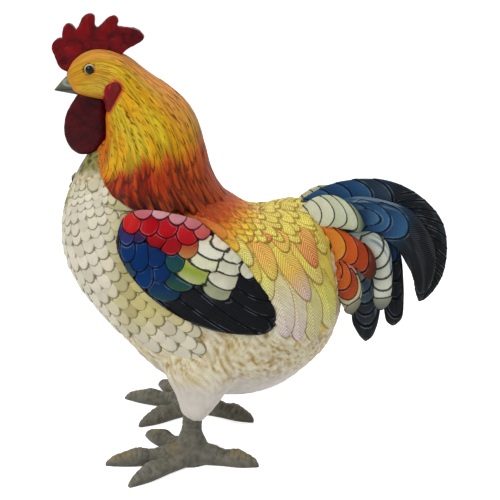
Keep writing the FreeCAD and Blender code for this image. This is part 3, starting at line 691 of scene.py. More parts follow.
def crossings(relief, pitch, slope, low, high, depth=0.4, core=0.9):
    """Slanted grooves across a plume between two places along it."""
    run = (relief["t"] - slope * np.abs(relief["s"])) / pitch
    away = np.abs(run - np.round(run)) * pitch / math.hypot(1, slope)
    inside = ease(relief["t"], low, low + 4) * (1 - ease(relief["t"], high - 4, high))
    relief["groove"] = np.minimum(relief["groove"], away + (1 - inside) * FAR_FROM_GROOVES)
    relief["height"] -= depth * inside * (1 - ease(away, 0, core))


def lobes(relief, places, width, length, colours, **shape):
    """A row of rounded lobes that point to the plume's tip. The ones nearer its root lie on top.
    Colours are one feather's, or a list of such lists that take turns from the root to the tip."""
    for index, place in sorted(enumerate(places), key=lambda pair: -pair[1]):
        tones = colours
        if isinstance(colours[0], list):
            tones = colours[index * len(colours) // len(places)]
        lay(relief, (0.0, place - length), (0.0, place), width, tones, **shape)


def streaks(relief, colour, share, wide=1.8, long=20.0, seed=31):
    """Soft brushed streaks that run along a plume."""
    places = np.stack([relief["s"] / wide, relief["t"] / long], -1)
    drawn = ease(cloud(places, 1.0, seed), 0.1, 0.65) * share
    relief["paint"] = blended(relief["paint"], colour, drawn)


def quill(relief, depth=0.5):
    """The plume's raised quill, with a fine groove on each side."""
    away = np.abs(relief["s"])
    raised, sunk = 1 - ease(away, 0.3, 1.3), 1 - ease(np.abs(away - 1.8), 0, 0.9)
    relief["height"] += depth * raised - 0.5 * depth * sunk


# %% One plume
BARB_SLOPE, BARB_PITCH = 1.1, 1.8  # the barbs lean back, one every 1.8 mm


def plume(name, chords, layer, rows, columns, marks):
    """One plume over its CAD node, with its marks laid on both faces."""
    points, along, across = plume_grid(name, chords, layer, rows, columns)
    relief = bare(across, along)
    marks(relief, along.max())
    raised = points + facing(points, True) * relief["height"][..., None] * MM
    barbs = (along - BARB_SLOPE * np.abs(across)) / BARB_PITCH
    made = grid_piece(name + "_painted", raised, plume_paint, paint_marks(relief, barb=barbs),
                      closed=True, tips=(True, True))
    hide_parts(name)


# %% The main sickle and the two others in the middle
def sickle_marks(relief, length):
    """Blue with arcs at its root, then black with soft grey streaks."""
    ground(relief, ["#1c2c44", "#2a5080", "#1f3f66", "#121720", "#0b0c0f", "#0b0c0f", "#0b0c0f"], length)
    tones = [["#13263c", "#1f4670", "#3a6a94"], ["#12233a", "#1b3f66", "#2f5c84"],
             ["#0e131b", "#1c2a3a", "#34465a"]]
    lobes(relief, np.arange(34, length * 0.56, 15.0), 34, 34, tones, rise=1.1, pillow=0.3, blunt=0.7)
    crossings(relief, 8.5, 1.2, length * 0.5, length * 0.97, depth=0.3)
    streaks(relief, "#2c3038", ease(relief["t"], length * 0.4, length * 0.6) * 0.7)
    quill(relief)


def rear_marks(relief, length):
    """Blue-black, with wide lobes."""
    ground(relief, ["#1d3a63", "#1b3150", "#0f1218", "#0b0c0f"], length)
    tones = [["#0f2544", "#1f4068"], ["#0c0e12", "#141a24"]]
    lobes(relief, np.arange(18, length, 15.0), 13, 15, tones, rise=0.9, blunt=0.7)
    quill(relief)


def black_marks(relief, length):
    """Black, with bluish grey streaks."""
    ground(relief, ["#7b8c8f", "#4a5a66", "#1a2028", "#101216"], length)
    tones = [["#3a4a58", "#6b7f8c", "#a9b3a8"], ["#1c2834", "#33475a", "#5a6c7c"],
             ["#0f1218", "#1c2228", "#343a42"]]
    lobes(relief, np.arange(26, length - 8, 9.5), 22, 26, tones, rise=0.9, pillow=0.3, blunt=0.8)
    streaks(relief, "#6b7c8c", 0.3 + ease(relief["t"], length * 0.9, length * 0.5) * 0.4)
    quill(relief)


# Chords across each plume from root to tip, as shares of the tail's length and height.
MAIN_SICKLE = [(-0.18, 0.78, -0.13, 0.64), (-0.04, 0.84, 0.02, 0.70), (0.15, 0.95, 0.18, 0.75),
               (0.33, 0.995, 0.34, 0.76), (0.51, 1.00, 0.48, 0.76), (0.68, 0.96, 0.58, 0.73),
               (0.84, 0.87, 0.66, 0.67), (0.96, 0.74, 0.70, 0.60), (1.00, 0.58, 0.73, 0.52),
               (0.98, 0.42, 0.78, 0.40), (0.91, 0.31, 0.80, 0.32), (0.84, 0.25, 0.82, 0.26)]
BLUE_REAR = [(0.18, 0.62, 0.19, 0.50), (0.40, 0.68, 0.34, 0.53), (0.61, 0.69, 0.50, 0.54),
             (0.69, 0.56, 0.575, 0.48), (0.72, 0.39, 0.585, 0.38), (0.73, 0.24, 0.59, 0.24),
             (0.72, 0.15, 0.61, 0.14), (0.68, 0.10, 0.64, 0.10)]
BLACK_LOWER = [(0.18, 0.50, 0.16, 0.36), (0.34, 0.54, 0.27, 0.38), (0.49, 0.50, 0.345, 0.34),
               (0.56, 0.38, 0.37, 0.27), (0.575, 0.24, 0.375, 0.19), (0.565, 0.14, 0.385, 0.12),
               (0.54, 0.06, 0.42, 0.06), (0.50, 0.00, 0.46, 0.00)]
plume("plume_main_sickle", MAIN_SICKLE, 0, 380, 96, sickle_marks)
plume("plume_blue_rear", BLUE_REAR, 0, 220, 72, rear_marks)
plume("plume_black_lower", BLACK_LOWER, 0, 200, 80, black_marks)


# %% Marks of the barred white plume and the blue sickle
def white_marks(relief, length):
    """White with black crescents."""
    ground(relief, ["#23406a", "#a9b4a8", "#c9ccb8", "#b9bca8", "#3a3d42"], length)
    tones = ["#8f9c92", "#c4c8b4", "#d2d3c4"]
    lobes(relief, np.arange(length * 0.5, length - 8, 9.5), 24, 20, tones, rise=1.2, blunt=0.6, lines=2.1)
    streaks(relief, "#3f6690", ease(relief["s"], 1.0, -6.0) * 0.8)
    lay(relief, (0, length - 12), (0, length + 4), 26, ["#8d927f", "#3a4046"], rise=0.4, pillow=0.2)


def blue_marks(relief, length):
    """Blue with nested lobes, each with a black rim."""
    ground(relief, ["#2f5c84", "#2a4f74", "#284e72", "#1f3f5c", "#10161e", "#0b0c0f", "#0b0c0f"], length)
    tones = [["#16262c", "#2b4a52", "#5c7f86"], ["#10243c", "#1c4064", "#3a6488"],
             ["#10243c", "#1b3f62", "#35618a"]]
    lobes(relief, np.arange(22, length * 0.7, 15.0), 27, 30, tones, rise=1.3, blunt=0.75)
    small = ["#10243c", "#1b3c5e", "#466f92"]
    lobes(relief, np.arange(14, length * 0.5, 30.0), 15, 22, small, rise=1.0, blunt=0.8)
    at_edge = ease(np.abs(relief["s"]), 5.0, 12.0)
    streaks(relief, "#8fa6b4", at_edge * ease(relief["t"], length * 0.68, length * 0.5) * 0.5)
    streaks(relief, "#34383e", ease(relief["t"], length * 0.6, length * 0.7) * 0.5, seed=36)
    quill(relief)


# %% Marks of the cream and orange plumes
def cream_marks(relief, length):
    """Cream green with dark green arcs and a yellow root."""
    ground(relief, ["#e0b84a", "#d9c88a", "#c5caa5", "#b9c19a", "#3e5a40"], length)
    tones = [["#cfa85a", "#e0cf92", "#eadfb8"], ["#a8a888", "#cccda8", "#dcdcc4"],
             ["#93a077", "#bcc29c", "#d0d4ba"]]
    lobes(relief, np.arange(17, length - 3, 9.5), 34, 30, tones, rise=1.3, blunt=0.75)
    to_tip = ease(relief["t"], length * 0.5, length * 0.9)
    streaks(relief, "#c9cf4a", ease(relief["s"], -2.0, 7.0) * to_tip * 0.7)


def orange_marks(relief, length):
    """Orange with black arcs and a yellow root."""
    ground(relief, ["#dca536", "#c8541a", "#a33a14", "#7a2810", "#2a1a14"], length)
    tones = [["#a8481a", "#d06c1c", "#dd9030"], ["#8d2c10", "#b84a16", "#c9581a"],
             ["#6a200c", "#9a3412", "#ab4014"], ["#4a180c", "#7a2810", "#8a3012"]]
    lobes(relief, np.arange(44, length - 4, 10.5), 34, 30, tones, rise=1.3, blunt=0.7)
    lobes(relief, [20, 32], 24, 24, ["#c98a2c", "#e0a834", "#ecc850"], rise=1.3, blunt=0.7)
    streaks(relief, "#d98a2c", ease(relief["t"], length * 0.6, length * 0.35) * 0.6, seed=35)


def low_orange_marks(relief, length):
    """Orange with a cream end and a dark tip."""
    ground(relief, ["#d9822a", "#c65a1c", "#c9622a", "#cfc7a4", "#3a2d22"], length)
    lobes(relief, np.arange(58, length - 2, 8.5), 24, 22, ["#a88a5c", "#c9c3a2"], rise=1.0, blunt=0.6)
    tones = [["#c9861e", "#dca028", "#e8b830"], ["#8a3010", "#b8501a", "#c9601e"],
             ["#6a240e", "#96381a", "#b04a1e"]]
    lobes(relief, np.arange(16, 58, 9.5), 22, 22, tones, rise=1.1, blunt=0.7)
    lay(relief, (0, length - 12), (0, length + 4), 22, ["#8d8a72", "#4a4a46"], rise=0.4, pillow=0.2)


# %% The plumes on each side, each with its layer, its chords and its marks
SIDE_PLUMES = {
    "barred_white": (1, [(0.16, 0.68, 0.18, 0.54), (0.34, 0.71, 0.30, 0.55), (0.49, 0.715, 0.40, 0.55),
                         (0.59, 0.65, 0.47, 0.51), (0.63, 0.53, 0.49, 0.46), (0.64, 0.41, 0.50, 0.39),
                         (0.63, 0.30, 0.51, 0.29), (0.59, 0.23, 0.54, 0.23)], white_marks),
    "blue_sickle": (1, [(-0.10, 0.76, -0.08, 0.64), (0.03, 0.81, 0.06, 0.66), (0.16, 0.86, 0.19, 0.67),
                        (0.30, 0.90, 0.34, 0.67), (0.44, 0.91, 0.46, 0.68), (0.58, 0.885, 0.56, 0.66),
                        (0.72, 0.84, 0.64, 0.62), (0.82, 0.75, 0.68, 0.57), (0.89, 0.64, 0.72, 0.51),
                        (0.91, 0.52, 0.76, 0.45), (0.89, 0.41, 0.79, 0.38), (0.84, 0.32, 0.81, 0.33)],
                    blue_marks),
    "cream_covert": (2, [(-0.14, 0.77, -0.11, 0.66), (-0.01, 0.85, 0.02, 0.74), (0.09, 0.92, 0.13, 0.74),
                         (0.19, 0.94, 0.24, 0.74), (0.28, 0.92, 0.33, 0.73), (0.36, 0.865, 0.385, 0.725),
                         (0.43, 0.785, 0.42, 0.73)], cream_marks),
    "orange_upper": (2, [(-0.08, 0.72, -0.05, 0.60), (0.03, 0.75, 0.06, 0.59), (0.13, 0.76, 0.15, 0.56),
                         (0.23, 0.755, 0.24, 0.54), (0.33, 0.72, 0.33, 0.53), (0.42, 0.67, 0.40, 0.49),
                         (0.49, 0.60, 0.45, 0.455), (0.525, 0.50, 0.49, 0.445)], orange_marks),
    "orange_lower": (2, [(0.00, 0.61, 0.02, 0.49), (0.12, 0.61, 0.11, 0.49), (0.22, 0.59, 0.17, 0.44),
                         (0.32, 0.555, 0.22, 0.39), (0.39, 0.49, 0.26, 0.34), (0.43, 0.39, 0.29, 0.29),
                         (0.42, 0.31, 0.31, 0.255), (0.38, 0.235, 0.34, 0.225)], low_orange_marks),
}
for kind, (layer, chords, marks) in SIDE_PLUMES.items():
    for side, sign in (("left", -1), ("right", 1)):
        plume("plume_%s_%s" % (kind, side), chords, sign * layer, 220, 80, marks)

# %% [markdown]
# ## Breast scales
# The breast feathers are small rounded shields, each a little proud of the one below it. They follow
# lines that run from the neck down the breast and back under the wing, so one blade is modelled once
# and Geometry Nodes sets a copy on every place along those lines, turned to the surface.

# %% One shield-shaped blade
BLADE_RINGS = [(0.45, 0.085), (0.76, 0.065), (1.0, 0.0), (1.02, -0.28)]  # reach and height of each ring


def blade_mesh(sides=12):
    """A shield 1 wide and 1.2 long, its tip towards +Y, with a rounded rim and a short skirt."""
    points, groove, faces = [(0.0, 0.0, 0.09)], [4.0], []
    for reach, up in BLADE_RINGS:
        for step in range(sides):
            turn = 2 * math.pi * step / sides
            x, y = math.sin(turn) * 0.5, math.cos(turn) * 0.6
            x *= 1 + 0.12 * (y < 0)
            points.append((x * reach, y * reach, up + 0.09 * y * reach))
            groove.append(max(0.0, (1 - reach) * 6.0))
    for step in range(sides):
        after = (step + 1) % sides
        faces.append((1 + step, 1 + after, 0))
        for ring in range(len(BLADE_RINGS) - 1):
            a, b = 1 + ring * sides, 1 + (ring + 1) * sides
            faces.append((b + step, b + after, a + after, a + step))
    mesh = bpy.data.meshes.new("breast_blade")
    mesh.from_pydata(points, [], faces)
    mesh.attributes.new("groove", "FLOAT", "POINT").data.foreach_set("value", groove)
    mesh.polygons.foreach_set("use_smooth", [True] * len(mesh.polygons))
    return mesh


blade = bpy.data.objects.new("breast_blade", blade_mesh())
print("blade:", len(blade.data.polygons), "faces")

# %% Places along the lines of a grid
CROWDED = 5.4  # mm: where the lines come nearer than this, every second one ends
LEAST_WIDE, MOST_WIDE = 3.6, 13.0
LEAST_STEP, MOST_STEP = 3.4, 11.0


def along_lines(grid, grid_out, columns, every, shown):
    """Places along some columns of a grid, for blades as wide as the columns between two lines.
    Each has a point, its direction out, its flow and its width. Shown says how much a place counts."""
    found = []
    for line, column in enumerate(columns):
        path = grid[:, column]
        way = np.gradient(path, axis=0)
        width = np.linalg.norm(path - grid[:, (column + every) % grid.shape[1]], axis=1) / MM
        steps = run_along(path) / MM
        place = 1.0 + (line % 2) * 0.42 * width[len(width) // 8]
        while place < steps[-1]:
            row = int(np.searchsorted(steps, place).clip(1, len(path) - 2))
            share = shown(path[row], row, column)
            wide = width[row]
            if wide < CROWDED:
                wide = wide * 2 if line % 2 else 0.0
            if share > 0.15 and LEAST_WIDE < wide < MOST_WIDE:
                out = grid_out[row, column]
                flow = way[row] - out * (way[row] @ out)
                flow /= np.linalg.norm(flow)
                found.append((path[row], out, flow, wide * (0.75 + 0.25 * share)))
            place += min(max(0.84 * wide, LEAST_STEP), MOST_STEP)
    return found


# %% Lines down the breast
BREAST_LINES, BETWEEN = 36, 8  # lines around the body, and the grid's columns between two
body_ring = ring_grid(body_skin, BODY_CHORDS, 44, 64, 176, BREAST_LINES * BETWEEN)
body_ring_out = facing(body_ring, True)
away_from_middle = body_ring - body_ring.mean(axis=1, keepdims=True)
body_ring_out *= np.sign((body_ring_out * away_from_middle).sum(-1).mean())
cover_tree = skin_of("head_cape", "wing_left", "wing_right")


def on_breast(point, row, column):
    """How much a place is breast: before the belly's fluff, above the thighs, and not under a casting."""
    s, t = drawn_at(point)
    out = body_ring_out[row, column]
    below = body_ring[min(row + 6, len(body_ring) - 1), column]
    covered = all(cover_tree.ray_cast(Vector(spot + out * 0.5 * MM), Vector(out), 30 * MM)[0]
                  for spot in (point, below))
    if covered or t > 190 or (s > -66 and t > 140):
        return 0.0
    return ease(s, -38, -52) * ease(point[2] / MM, 82, 92)


places = along_lines(body_ring, body_ring_out, range(0, BREAST_LINES * BETWEEN, BETWEEN), BETWEEN, on_breast)
print("breast scales:", len(places))

# %% [markdown]
# ## The neck cape and head
# The cape is one casting from the face down to its hem over the shoulders. It gets a closed grid of
# points around the neck. Long locks are laid over its lower half, and the fine hairs and the short
# brown brush dashes follow its flow, because the grid's own lines run with it.

# %% The cape's grid and its measures
CAPE_ROWS, CAPE_COLUMNS = 220, 380
AROUND_CAPE = 260.0  # mm around the hem, by which the locks are spaced
CAPE_CHORDS = [(-134.2, 286.6, -137.5, 296.9), (-128.5, 282.0, -131.9, 307.1), (-120, 279.8, -121.2, 313.9),
               (-111.6, 278.6, -109.3, 315.1), (-108.7, 274.6, -96.2, 311.1), (-109.9, 264.3, -84.2, 302.5),
               (-110.4, 251.3, -71.4, 293), (-113.8, 239.9, -58.4, 282.9), (-117.2, 230.8, -47.8, 270.2),
               (-120.6, 221.6, -40.2, 247.6), (-122.9, 213.7, -35.3, 226.2), (-122.9, 205.7, -18.9, 201.1),
               (-126, 192, -10, 193)]
cape_tree = skin_of("head_cape", "body_shell")
cape_at = ring_grid(cape_tree, CAPE_CHORDS, 52, 84, CAPE_ROWS, CAPE_COLUMNS)
cape_out = facing(cape_at, True)
cape_down = np.repeat(run_along(cape_at)[:, None], CAPE_COLUMNS, axis=1) / MM
cape_round = np.repeat((np.arange(CAPE_COLUMNS) / CAPE_COLUMNS * AROUND_CAPE)[None], CAPE_ROWS, axis=0)
from_nape = np.minimum(cape_round, AROUND_CAPE - cape_round)
hem = float(cape_down[int((CAPE_ROWS - 1) * 11 / 12), 0])
print("cape length to its hem:", round(hem), "mm")

# %% Four rows of locks at the hem
LOCK_LONG, LOCK_STEP = 48, 11.0  # mm: a lock's length, and from one row's tips to the next
cape = bare(cape_round, cape_down)
above = cape_down < hem - 4
cape["covered"][:] = above
cape["height"][:] = np.where(above, 0.0, -1.6)
for ring in range(4):
    tip = hem + 5.0 - ring * LOCK_STEP
    count = 42 + 3 * (ring % 2)
    for lock in range(count + 1):
        place = (lock + 0.5 * (ring % 2) + rng.uniform(-0.25, 0.25)) * AROUND_CAPE / count
        end = tip + rng.uniform(-4.0, 4.0)
        lay(cape, (place, end - LOCK_LONG), (place + rng.uniform(-2, 2), end), AROUND_CAPE / count * 1.3,
            ["#888888"], level=-0.2, rise=1.7 - ring * 0.35, pillow=0.7, blunt=0.9, waist=0.3, soft=1.8)

# %% Fine hairs that follow the cape's flow
flow_at = np.stack([cape_round, cape_down], axis=-1)
swing = cloud(flow_at / np.array([1.0, 2.2]), 14, 41) * 2.2
hair = cloud(np.stack([(cape_round + swing) / 1.5, cape_down / 17], -1), 1.0, 42)
hair += 0.5 * cloud(np.stack([(cape_round + swing) / 0.9, cape_down / 11], -1), 1.0, 43)
lower = ease(cape_down, hem - 52, hem - 26)
cape["height"] += hair * (0.16 + 0.30 * lower) * ease(cape_down, 3, 16) * cape["covered"]

# %% The cape's airbrushed colours
ORANGE, RED, MAROON = "#d2611a", "#a32812", "#3d0a0c"
nape = 0.5 + 0.5 * np.cos(cape_round / AROUND_CAPE * 2 * np.pi)
at_side = np.exp(-(((from_nape - 72) / 34) ** 2))
tone = cloud(np.stack([cape_round / 9, cape_down / 22], -1), 1.0, 51)
colour = blended("#d99e12", "#d3b324", np.clip(0.5 + tone, 0, 1))
colour = blended(colour, "#e0914a", ease(nape, 0.80, 0.99) * ease(cape_down, hem - 30, hem - 60) * 0.9)
colour = blended(colour, ORANGE, ease(1 - nape, 0.72, 0.92) * 0.8)
uneven_down = cape_down + 5 * tone + 3 * hair
colour = blended(colour, ORANGE, ease(uneven_down, hem - 45, hem - 30))
reddened = ease(uneven_down + 10 * at_side, hem - 34, hem - 18)
colour = blended(colour, RED, reddened * (0.5 + 0.5 * at_side))
colour = blended(colour, MAROON, ease(uneven_down, hem - 27, hem - 6) * (0.2 + 0.8 * at_side))
colour = blended(colour, "#d0601e", ease(hair, 0.15, 0.7) * lower * 0.4)


# %% The face: orange round the eye, pale yellow-green on the cheek
def spot(x, z, size):
    """A soft round spot on both sides of the head, by its place and its size in millimetres."""
    return np.exp(-(np.hypot(cape_at[..., 0] / MM - x, cape_at[..., 2] / MM - z) / size) ** 2)


by_beak = 1 - ease(cape_down, 4, 20)
colour = blended(colour, "#c9a83a", spot(-113, 290, 11) * 0.8)
colour = blended(colour, "#d8822a", np.clip(spot(-119, 302, 10) * 0.45 + by_beak * 0.7, 0, 1))
colour = blended(colour, "#b59a2e", ease(hair, 0.1, 0.6) * (1 - ease(cape_down, 24, 40)) * 0.6)
# Darker where the hairs lie low, more so on the lower cape: painted shade between the hairs.
colour = colour * (0.66 - 0.24 * lower + (0.34 + 0.24 * lower) * ease(hair, -0.7, 0.2))[..., None]

# %% Bare red skin that joins the ear lobe to the wattle
SKIN_TOP, SKIN_FOOT, SKIN_HALF = np.array([-99.8, 290.0]), np.array([-107.5, 277.0]), 4.6
skin_way = SKIN_FOOT - SKIN_TOP
skin_from = np.stack([cape_at[..., 0], cape_at[..., 2]], axis=-1) / MM - SKIN_TOP
skin_share = np.clip(skin_from @ skin_way / (skin_way @ skin_way), 0, 1)
skin_away = np.linalg.norm(skin_from - skin_share[..., None] * skin_way, axis=-1) - SKIN_HALF
on_skin = ease(skin_away, 0.5, -0.5)
colour = blended(colour, "#c9561e", ease(skin_away, 2.4, 0.8) * 0.8)
cape["paint"] = blended(colour, "#6a0a12", on_skin)
cape["height"] = cape["height"] * (1 - on_skin) + 1.1 * ease(skin_away, 0.3, -2.0)
cape["groove"] = np.where(lower > 0.3, cape["groove"] * 1.2 + 0.15, FAR_FROM_GROOVES)

# %% The throat in front of the cape's edge, which is breast: a little lower, and cream
EDGE_T = [160, 168.4, 176.3, 186.9, 197.7, 207.7, 217, 226, 231]
EDGE_S = [-80, -86.9, -99.8, -107.5, -113.1, -115.0, -115.5, -114.5, -113.5]
cape_s, cape_t = drawn_at(cape_at)
ragged = 1.2 * cloud(np.stack([cape_t, cape_t], -1), 5, 91)
edge_at = np.interp(cape_t, EDGE_T, EDGE_S) - cape_s + ragged
throat = np.where((cape_t < EDGE_T[-1]) & (cape_at[..., 2] < 262 * MM), edge_at, -FAR_FROM_GROOVES)
in_throat = ease(throat, 0.0, 2.2)
brim = 0.5 * np.exp(-((throat + 1.5) / 1.5) ** 2)
cape["height"] = cape["height"] * (1 - in_throat) - 1.6 * in_throat + brim
throat_paint = ease(throat, 0.0, 0.8)
cape["paint"] = blended(cape["paint"], "#b9b489", throat_paint)
cape["paint"] = blended(cape["paint"], "#948d52", throat_paint * ease(cape_t, 192, 204))
cape["groove"] = np.where(throat > -1.0, np.abs(throat - 0.6) + 0.2, cape["groove"])

# %% The finished cape
cape_marks = paint_marks(
    cape, across=from_nape * (0.45 + 0.55 * cape_down / hem) + swing, along=cape_down,
    dashed=ease(cape_down, 26, 44) * (1 - in_throat) * (1 - 0.6 * lower))
cape_piece = grid_piece("cape_feathers", cape_at + cape_out * cape["height"][..., None] * MM, hackle_paint,
                        cape_marks, closed=True, keep=cape["covered"], tips=(True, False))
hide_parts("head_cape")

# %% [markdown]
# ## Setting the scales
# The throat in front of the cape's edge carries the same scales, smaller, on the cape's own grid. All
# the places go into one mesh of points with their directions, and the node tree does the rest.

# %% Scales on the throat
def on_throat(point, row, column):
    """How much a place is throat, in front of the cape's edge."""
    height = drawn_at(point)[1]
    return ease(throat[row, column], 1.5, 4.0) * (172 < height < 190)


THROAT_COLUMNS, THROAT_BETWEEN = (95, 286), 8
sunk_cape = cape_at - cape_out * 1.2 * MM
places += along_lines(sunk_cape, cape_out, range(*THROAT_COLUMNS, THROAT_BETWEEN), THROAT_BETWEEN, on_throat)
print("with the throat:", len(places))


# %% Scale colours, from cream on the breast to straw beside the wing
def scale_colour(point):
    """Cream, more olive and straw towards the wing and the cape."""
    s, t = drawn_at(point)
    beside = max(ease(s, -114, -92) * ease(t, 75, 100), ease(t, 178, 205) * 0.9)
    lucky = rng.random()
    pale = linear("#d5cfba") * (0.88 + 0.18 * lucky) + linear("#403038") * (rng.random() > 0.7)
    return pale * (1 - beside * 0.8) + linear("#b0a45a") * beside * 0.8 * (0.8 + 0.4 * lucky)


# %% One mesh of points for all the scales
OVERLAP = 1.16  # a blade's width, as a share of the room between two lines
points, outs, flows, widths = zip(*places)
seeds = bpy.data.meshes.new("scale_places")
seeds.from_pydata([tuple(point) for point in points], [], [])
for mark, kind, key, values in (
        ("out", "FLOAT_VECTOR", "vector", outs),
        ("flow", "FLOAT_VECTOR", "vector", flows),
        ("width", "FLOAT", "value", [width * MM * OVERLAP for width in widths]),
        ("barb", "FLOAT", "value", [NO_BARBS] * len(places)),
        ("paint", "FLOAT_COLOR", "color", [(*scale_colour(point), 1) for point in points])):
    seeds.attributes.new(mark, kind, "POINT").data.foreach_set(key, np.array(values, float).ravel())
scales = put("breast_scales", seeds)


# %% The node tree that sets the blades
def setting_tree():
    """Geometry nodes that set a blade on each point, by its direction, flow and width."""
    tree = bpy.data.node_groups.new("set_feather_blades", "GeometryNodeTree")
    for name, way, kind in (("Places", "INPUT", "Geometry"), ("Blade", "INPUT", "Object"),
                            ("Paint", "INPUT", "Material"), ("Tilt", "INPUT", "Float"),
                            ("Blades", "OUTPUT", "Geometry")):
        tree.interface.new_socket(name, in_out=way, socket_type="NodeSocket" + kind)
    given = add(tree, "NodeGroupInput").node.outputs
    out, flow, width = (
        add(tree, "GeometryNodeInputNamedAttribute", {"Name": mark}, data_type=kind)
        for mark, kind in (("out", "FLOAT_VECTOR"), ("flow", "FLOAT_VECTOR"), ("width", "FLOAT")))
    shape = add(tree, "GeometryNodeObjectInfo", {"Object": given["Blade"], "As Instance": True},
                out="Geometry")
    upright = add(tree, "FunctionNodeAlignRotationToVector", {"Vector": out}, axis="Z")
    turned = add(tree, "FunctionNodeAlignRotationToVector", {"Rotation": upright, "Vector": flow},
                 axis="Y", pivot_axis="Z")
    # Each blade leans and nods a little by chance, as hand carving does.
    least = add(tree, "ShaderNodeMath", [given["Tilt"], -1.0], operation="MULTIPLY")
    lean, nod = (
        add(tree, "FunctionNodeRandomValue", {2: least, 3: given["Tilt"], "Seed": seed}, out=1,
            data_type="FLOAT") for seed in (11, 12))
    angles = add(tree, "ShaderNodeCombineXYZ", {"X": nod, "Z": lean})
    jitter = add(tree, "FunctionNodeEulerToRotation", [angles])
    turn = add(tree, "FunctionNodeRotateRotation", [turned, jitter], rotation_space="LOCAL")
    blades = add(tree, "GeometryNodeInstanceOnPoints", {
        "Points": given["Places"], "Instance": shape, "Rotation": turn, "Scale": width})
    whole = add(tree, "GeometryNodeRealizeInstances", [blades])
    coated = add(tree, "GeometryNodeSetMaterial", {"Geometry": whole, "Material": given["Paint"]})
    add(tree, "NodeGroupOutput", [coated])
    return tree


# %% Setting the blades, and leaving one plain mesh
BLADE_TREE = setting_tree()
BLADE_TILT = 0.07  # radians, at most


def set_blades(holder, **values):
    """Sets blades on an object's points and leaves one plain mesh."""
    nodes = holder.modifiers.new("blades", "NODES")
    nodes.node_group = BLADE_TREE
    for item in BLADE_TREE.interface.items_tree:
        if item.name in values:
            nodes[item.identifier] = values[item.name]
    graph = bpy.context.evaluated_depsgraph_get()
    made = bpy.data.meshes.new_from_object(holder.evaluated_get(graph), depsgraph=graph)
    holder.modifiers.remove(nodes)
    holder.data = made
    made.name = holder.name
    print(holder.name, len(made.polygons), "faces")


set_blades(scales, Blade=blade, Paint=breast_paint, Tilt=BLADE_TILT)

# %% [markdown]
# ## Wings
# A wing is a casting that lies flat on the body. Its feathers are laid on the side drawing: black
# flight feathers first, then the cream, blue and red coverts row by row from the bottom up, so each
# row lies over the one below it.

# %% The line of sight, and how deep a casting lies along it
RAYS_START = 0.4  # m before the bird's middle


def sight_of(side):
    """The line of sight of the side drawing and its upward direction. Side is -1 for the left."""
    sight = np.array([0, -side * math.cos(TILT), -math.sin(TILT)])
    return sight, np.array([0, side * -math.sin(TILT), math.cos(TILT)])


def at_depth(s, t, depth, side):
    """Points at a depth along the line of sight."""
    sight, up = sight_of(side)
    start = np.stack([s * MM, np.full(s.shape, middle_y), np.zeros(s.shape)], axis=-1)
    return start + up * t[..., None] * MM + sight * (depth[..., None] - RAYS_START)


def depth_map(tree, s, t, side):
    """How far along the line of sight a casting lies at places of the drawing, with gaps filled."""
    sight = Vector(sight_of(side)[0])
    starts = at_depth(s, t, np.zeros(s.shape), side)
    depth = np.full(s.shape, np.nan)
    for place in np.ndindex(s.shape):
        hit = tree.ray_cast(Vector(starts[place]), sight)
        if hit[0]:
            depth[place] = hit[3]
    while np.isnan(depth).any():
        padded = np.pad(depth, 1, constant_values=np.nan)
        around = np.stack([padded[:-2, 1:-1], padded[2:, 1:-1], padded[1:-1, :-2], padded[1:-1, 2:]])
        known = (~np.isnan(around)).sum(axis=0)
        filled = np.nansum(around, axis=0) / np.maximum(known, 1)
        depth = np.where(np.isnan(depth) & (known > 0), filled, depth)
    return depth


# %% A region of the relief with a soft lip
LIP = 1.5  # mm over which a region's edge rounds down


def field(relief, outline, colour):
    """A region of the relief inside a smooth outline. It answers with what is inside, and with how
    far each place is from the outline."""
    line = through(np.array(outline, float), 120, closed=True)
    after = np.roll(line, -1, axis=0)
    s, t = relief["s"][..., None], relief["t"][..., None]
    step = after - line
    share = ((s - line[:, 0]) * step[:, 0] + (t - line[:, 1]) * step[:, 1]) / (step**2).sum(axis=1)
    share = np.clip(share, 0, 1)
    away = np.hypot(s - line[:, 0] - share * step[:, 0], t - line[:, 1] - share * step[:, 1]).min(axis=-1)
    crosses = ((line[:, 1] > t) != (after[:, 1] > t)) & (
        s < step[:, 0] * (t - line[:, 1]) / np.where(step[:, 1] == 0, 1e-9, step[:, 1]) + line[:, 0])
    inside = crosses.sum(axis=-1) % 2 == 1
    relief["covered"] |= inside
    relief["height"] = np.where(inside, 1.2 * rounded(away / LIP) - 1.2, relief["height"])
    relief["groove"] = np.where(inside, away, np.minimum(relief["groove"], away))
    relief["paint"] = np.where(inside[..., None], linear(colour), relief["paint"])
    return inside, away


# %% The wing's drawing, in millimetres
WING_OUTLINE = [(-87.5, 167.7), (-96.8, 160.6), (-99.9, 144.3), (-95.2, 130.2), (-84.1, 114.7),
                (-69.9, 101.9), (-52.0, 91.1), (-30.2, 83.2), (-8.2, 80.3), (5.8, 81.0), (13.8, 86.8),
                (14.5, 94.8), (10.0, 106.9), (1.2, 119.0), (-8.9, 132.5), (-18.9, 142.6),
                (-29.8, 152.7), (-40.6, 160.7), (-54.8, 165.3), (-72.6, 168.5)]
FLIGHT = [((-87.5, 119.7), (-44.7, 87.5)), ((-76.7, 117.1), (-20.7, 81.7)), ((-62.1, 118.4), (-0.9, 80.6)),
          ((-47.7, 123.1), (12.0, 83.8)), ((-36.9, 129.1), (14.9, 95.0)), ((-29.7, 134.4), (10.4, 107.5))]
CREAM_TILES = [((-31.0, 107.1), 20.5, 0.48), ((-26.4, 114.2), 20.5, 0.38), ((-22.0, 123.2), 17.5, 0.3),
               ((-8.9, 121.7), 11.5, 0.55), ((-19.1, 131.2), 15.0, 0.3)]
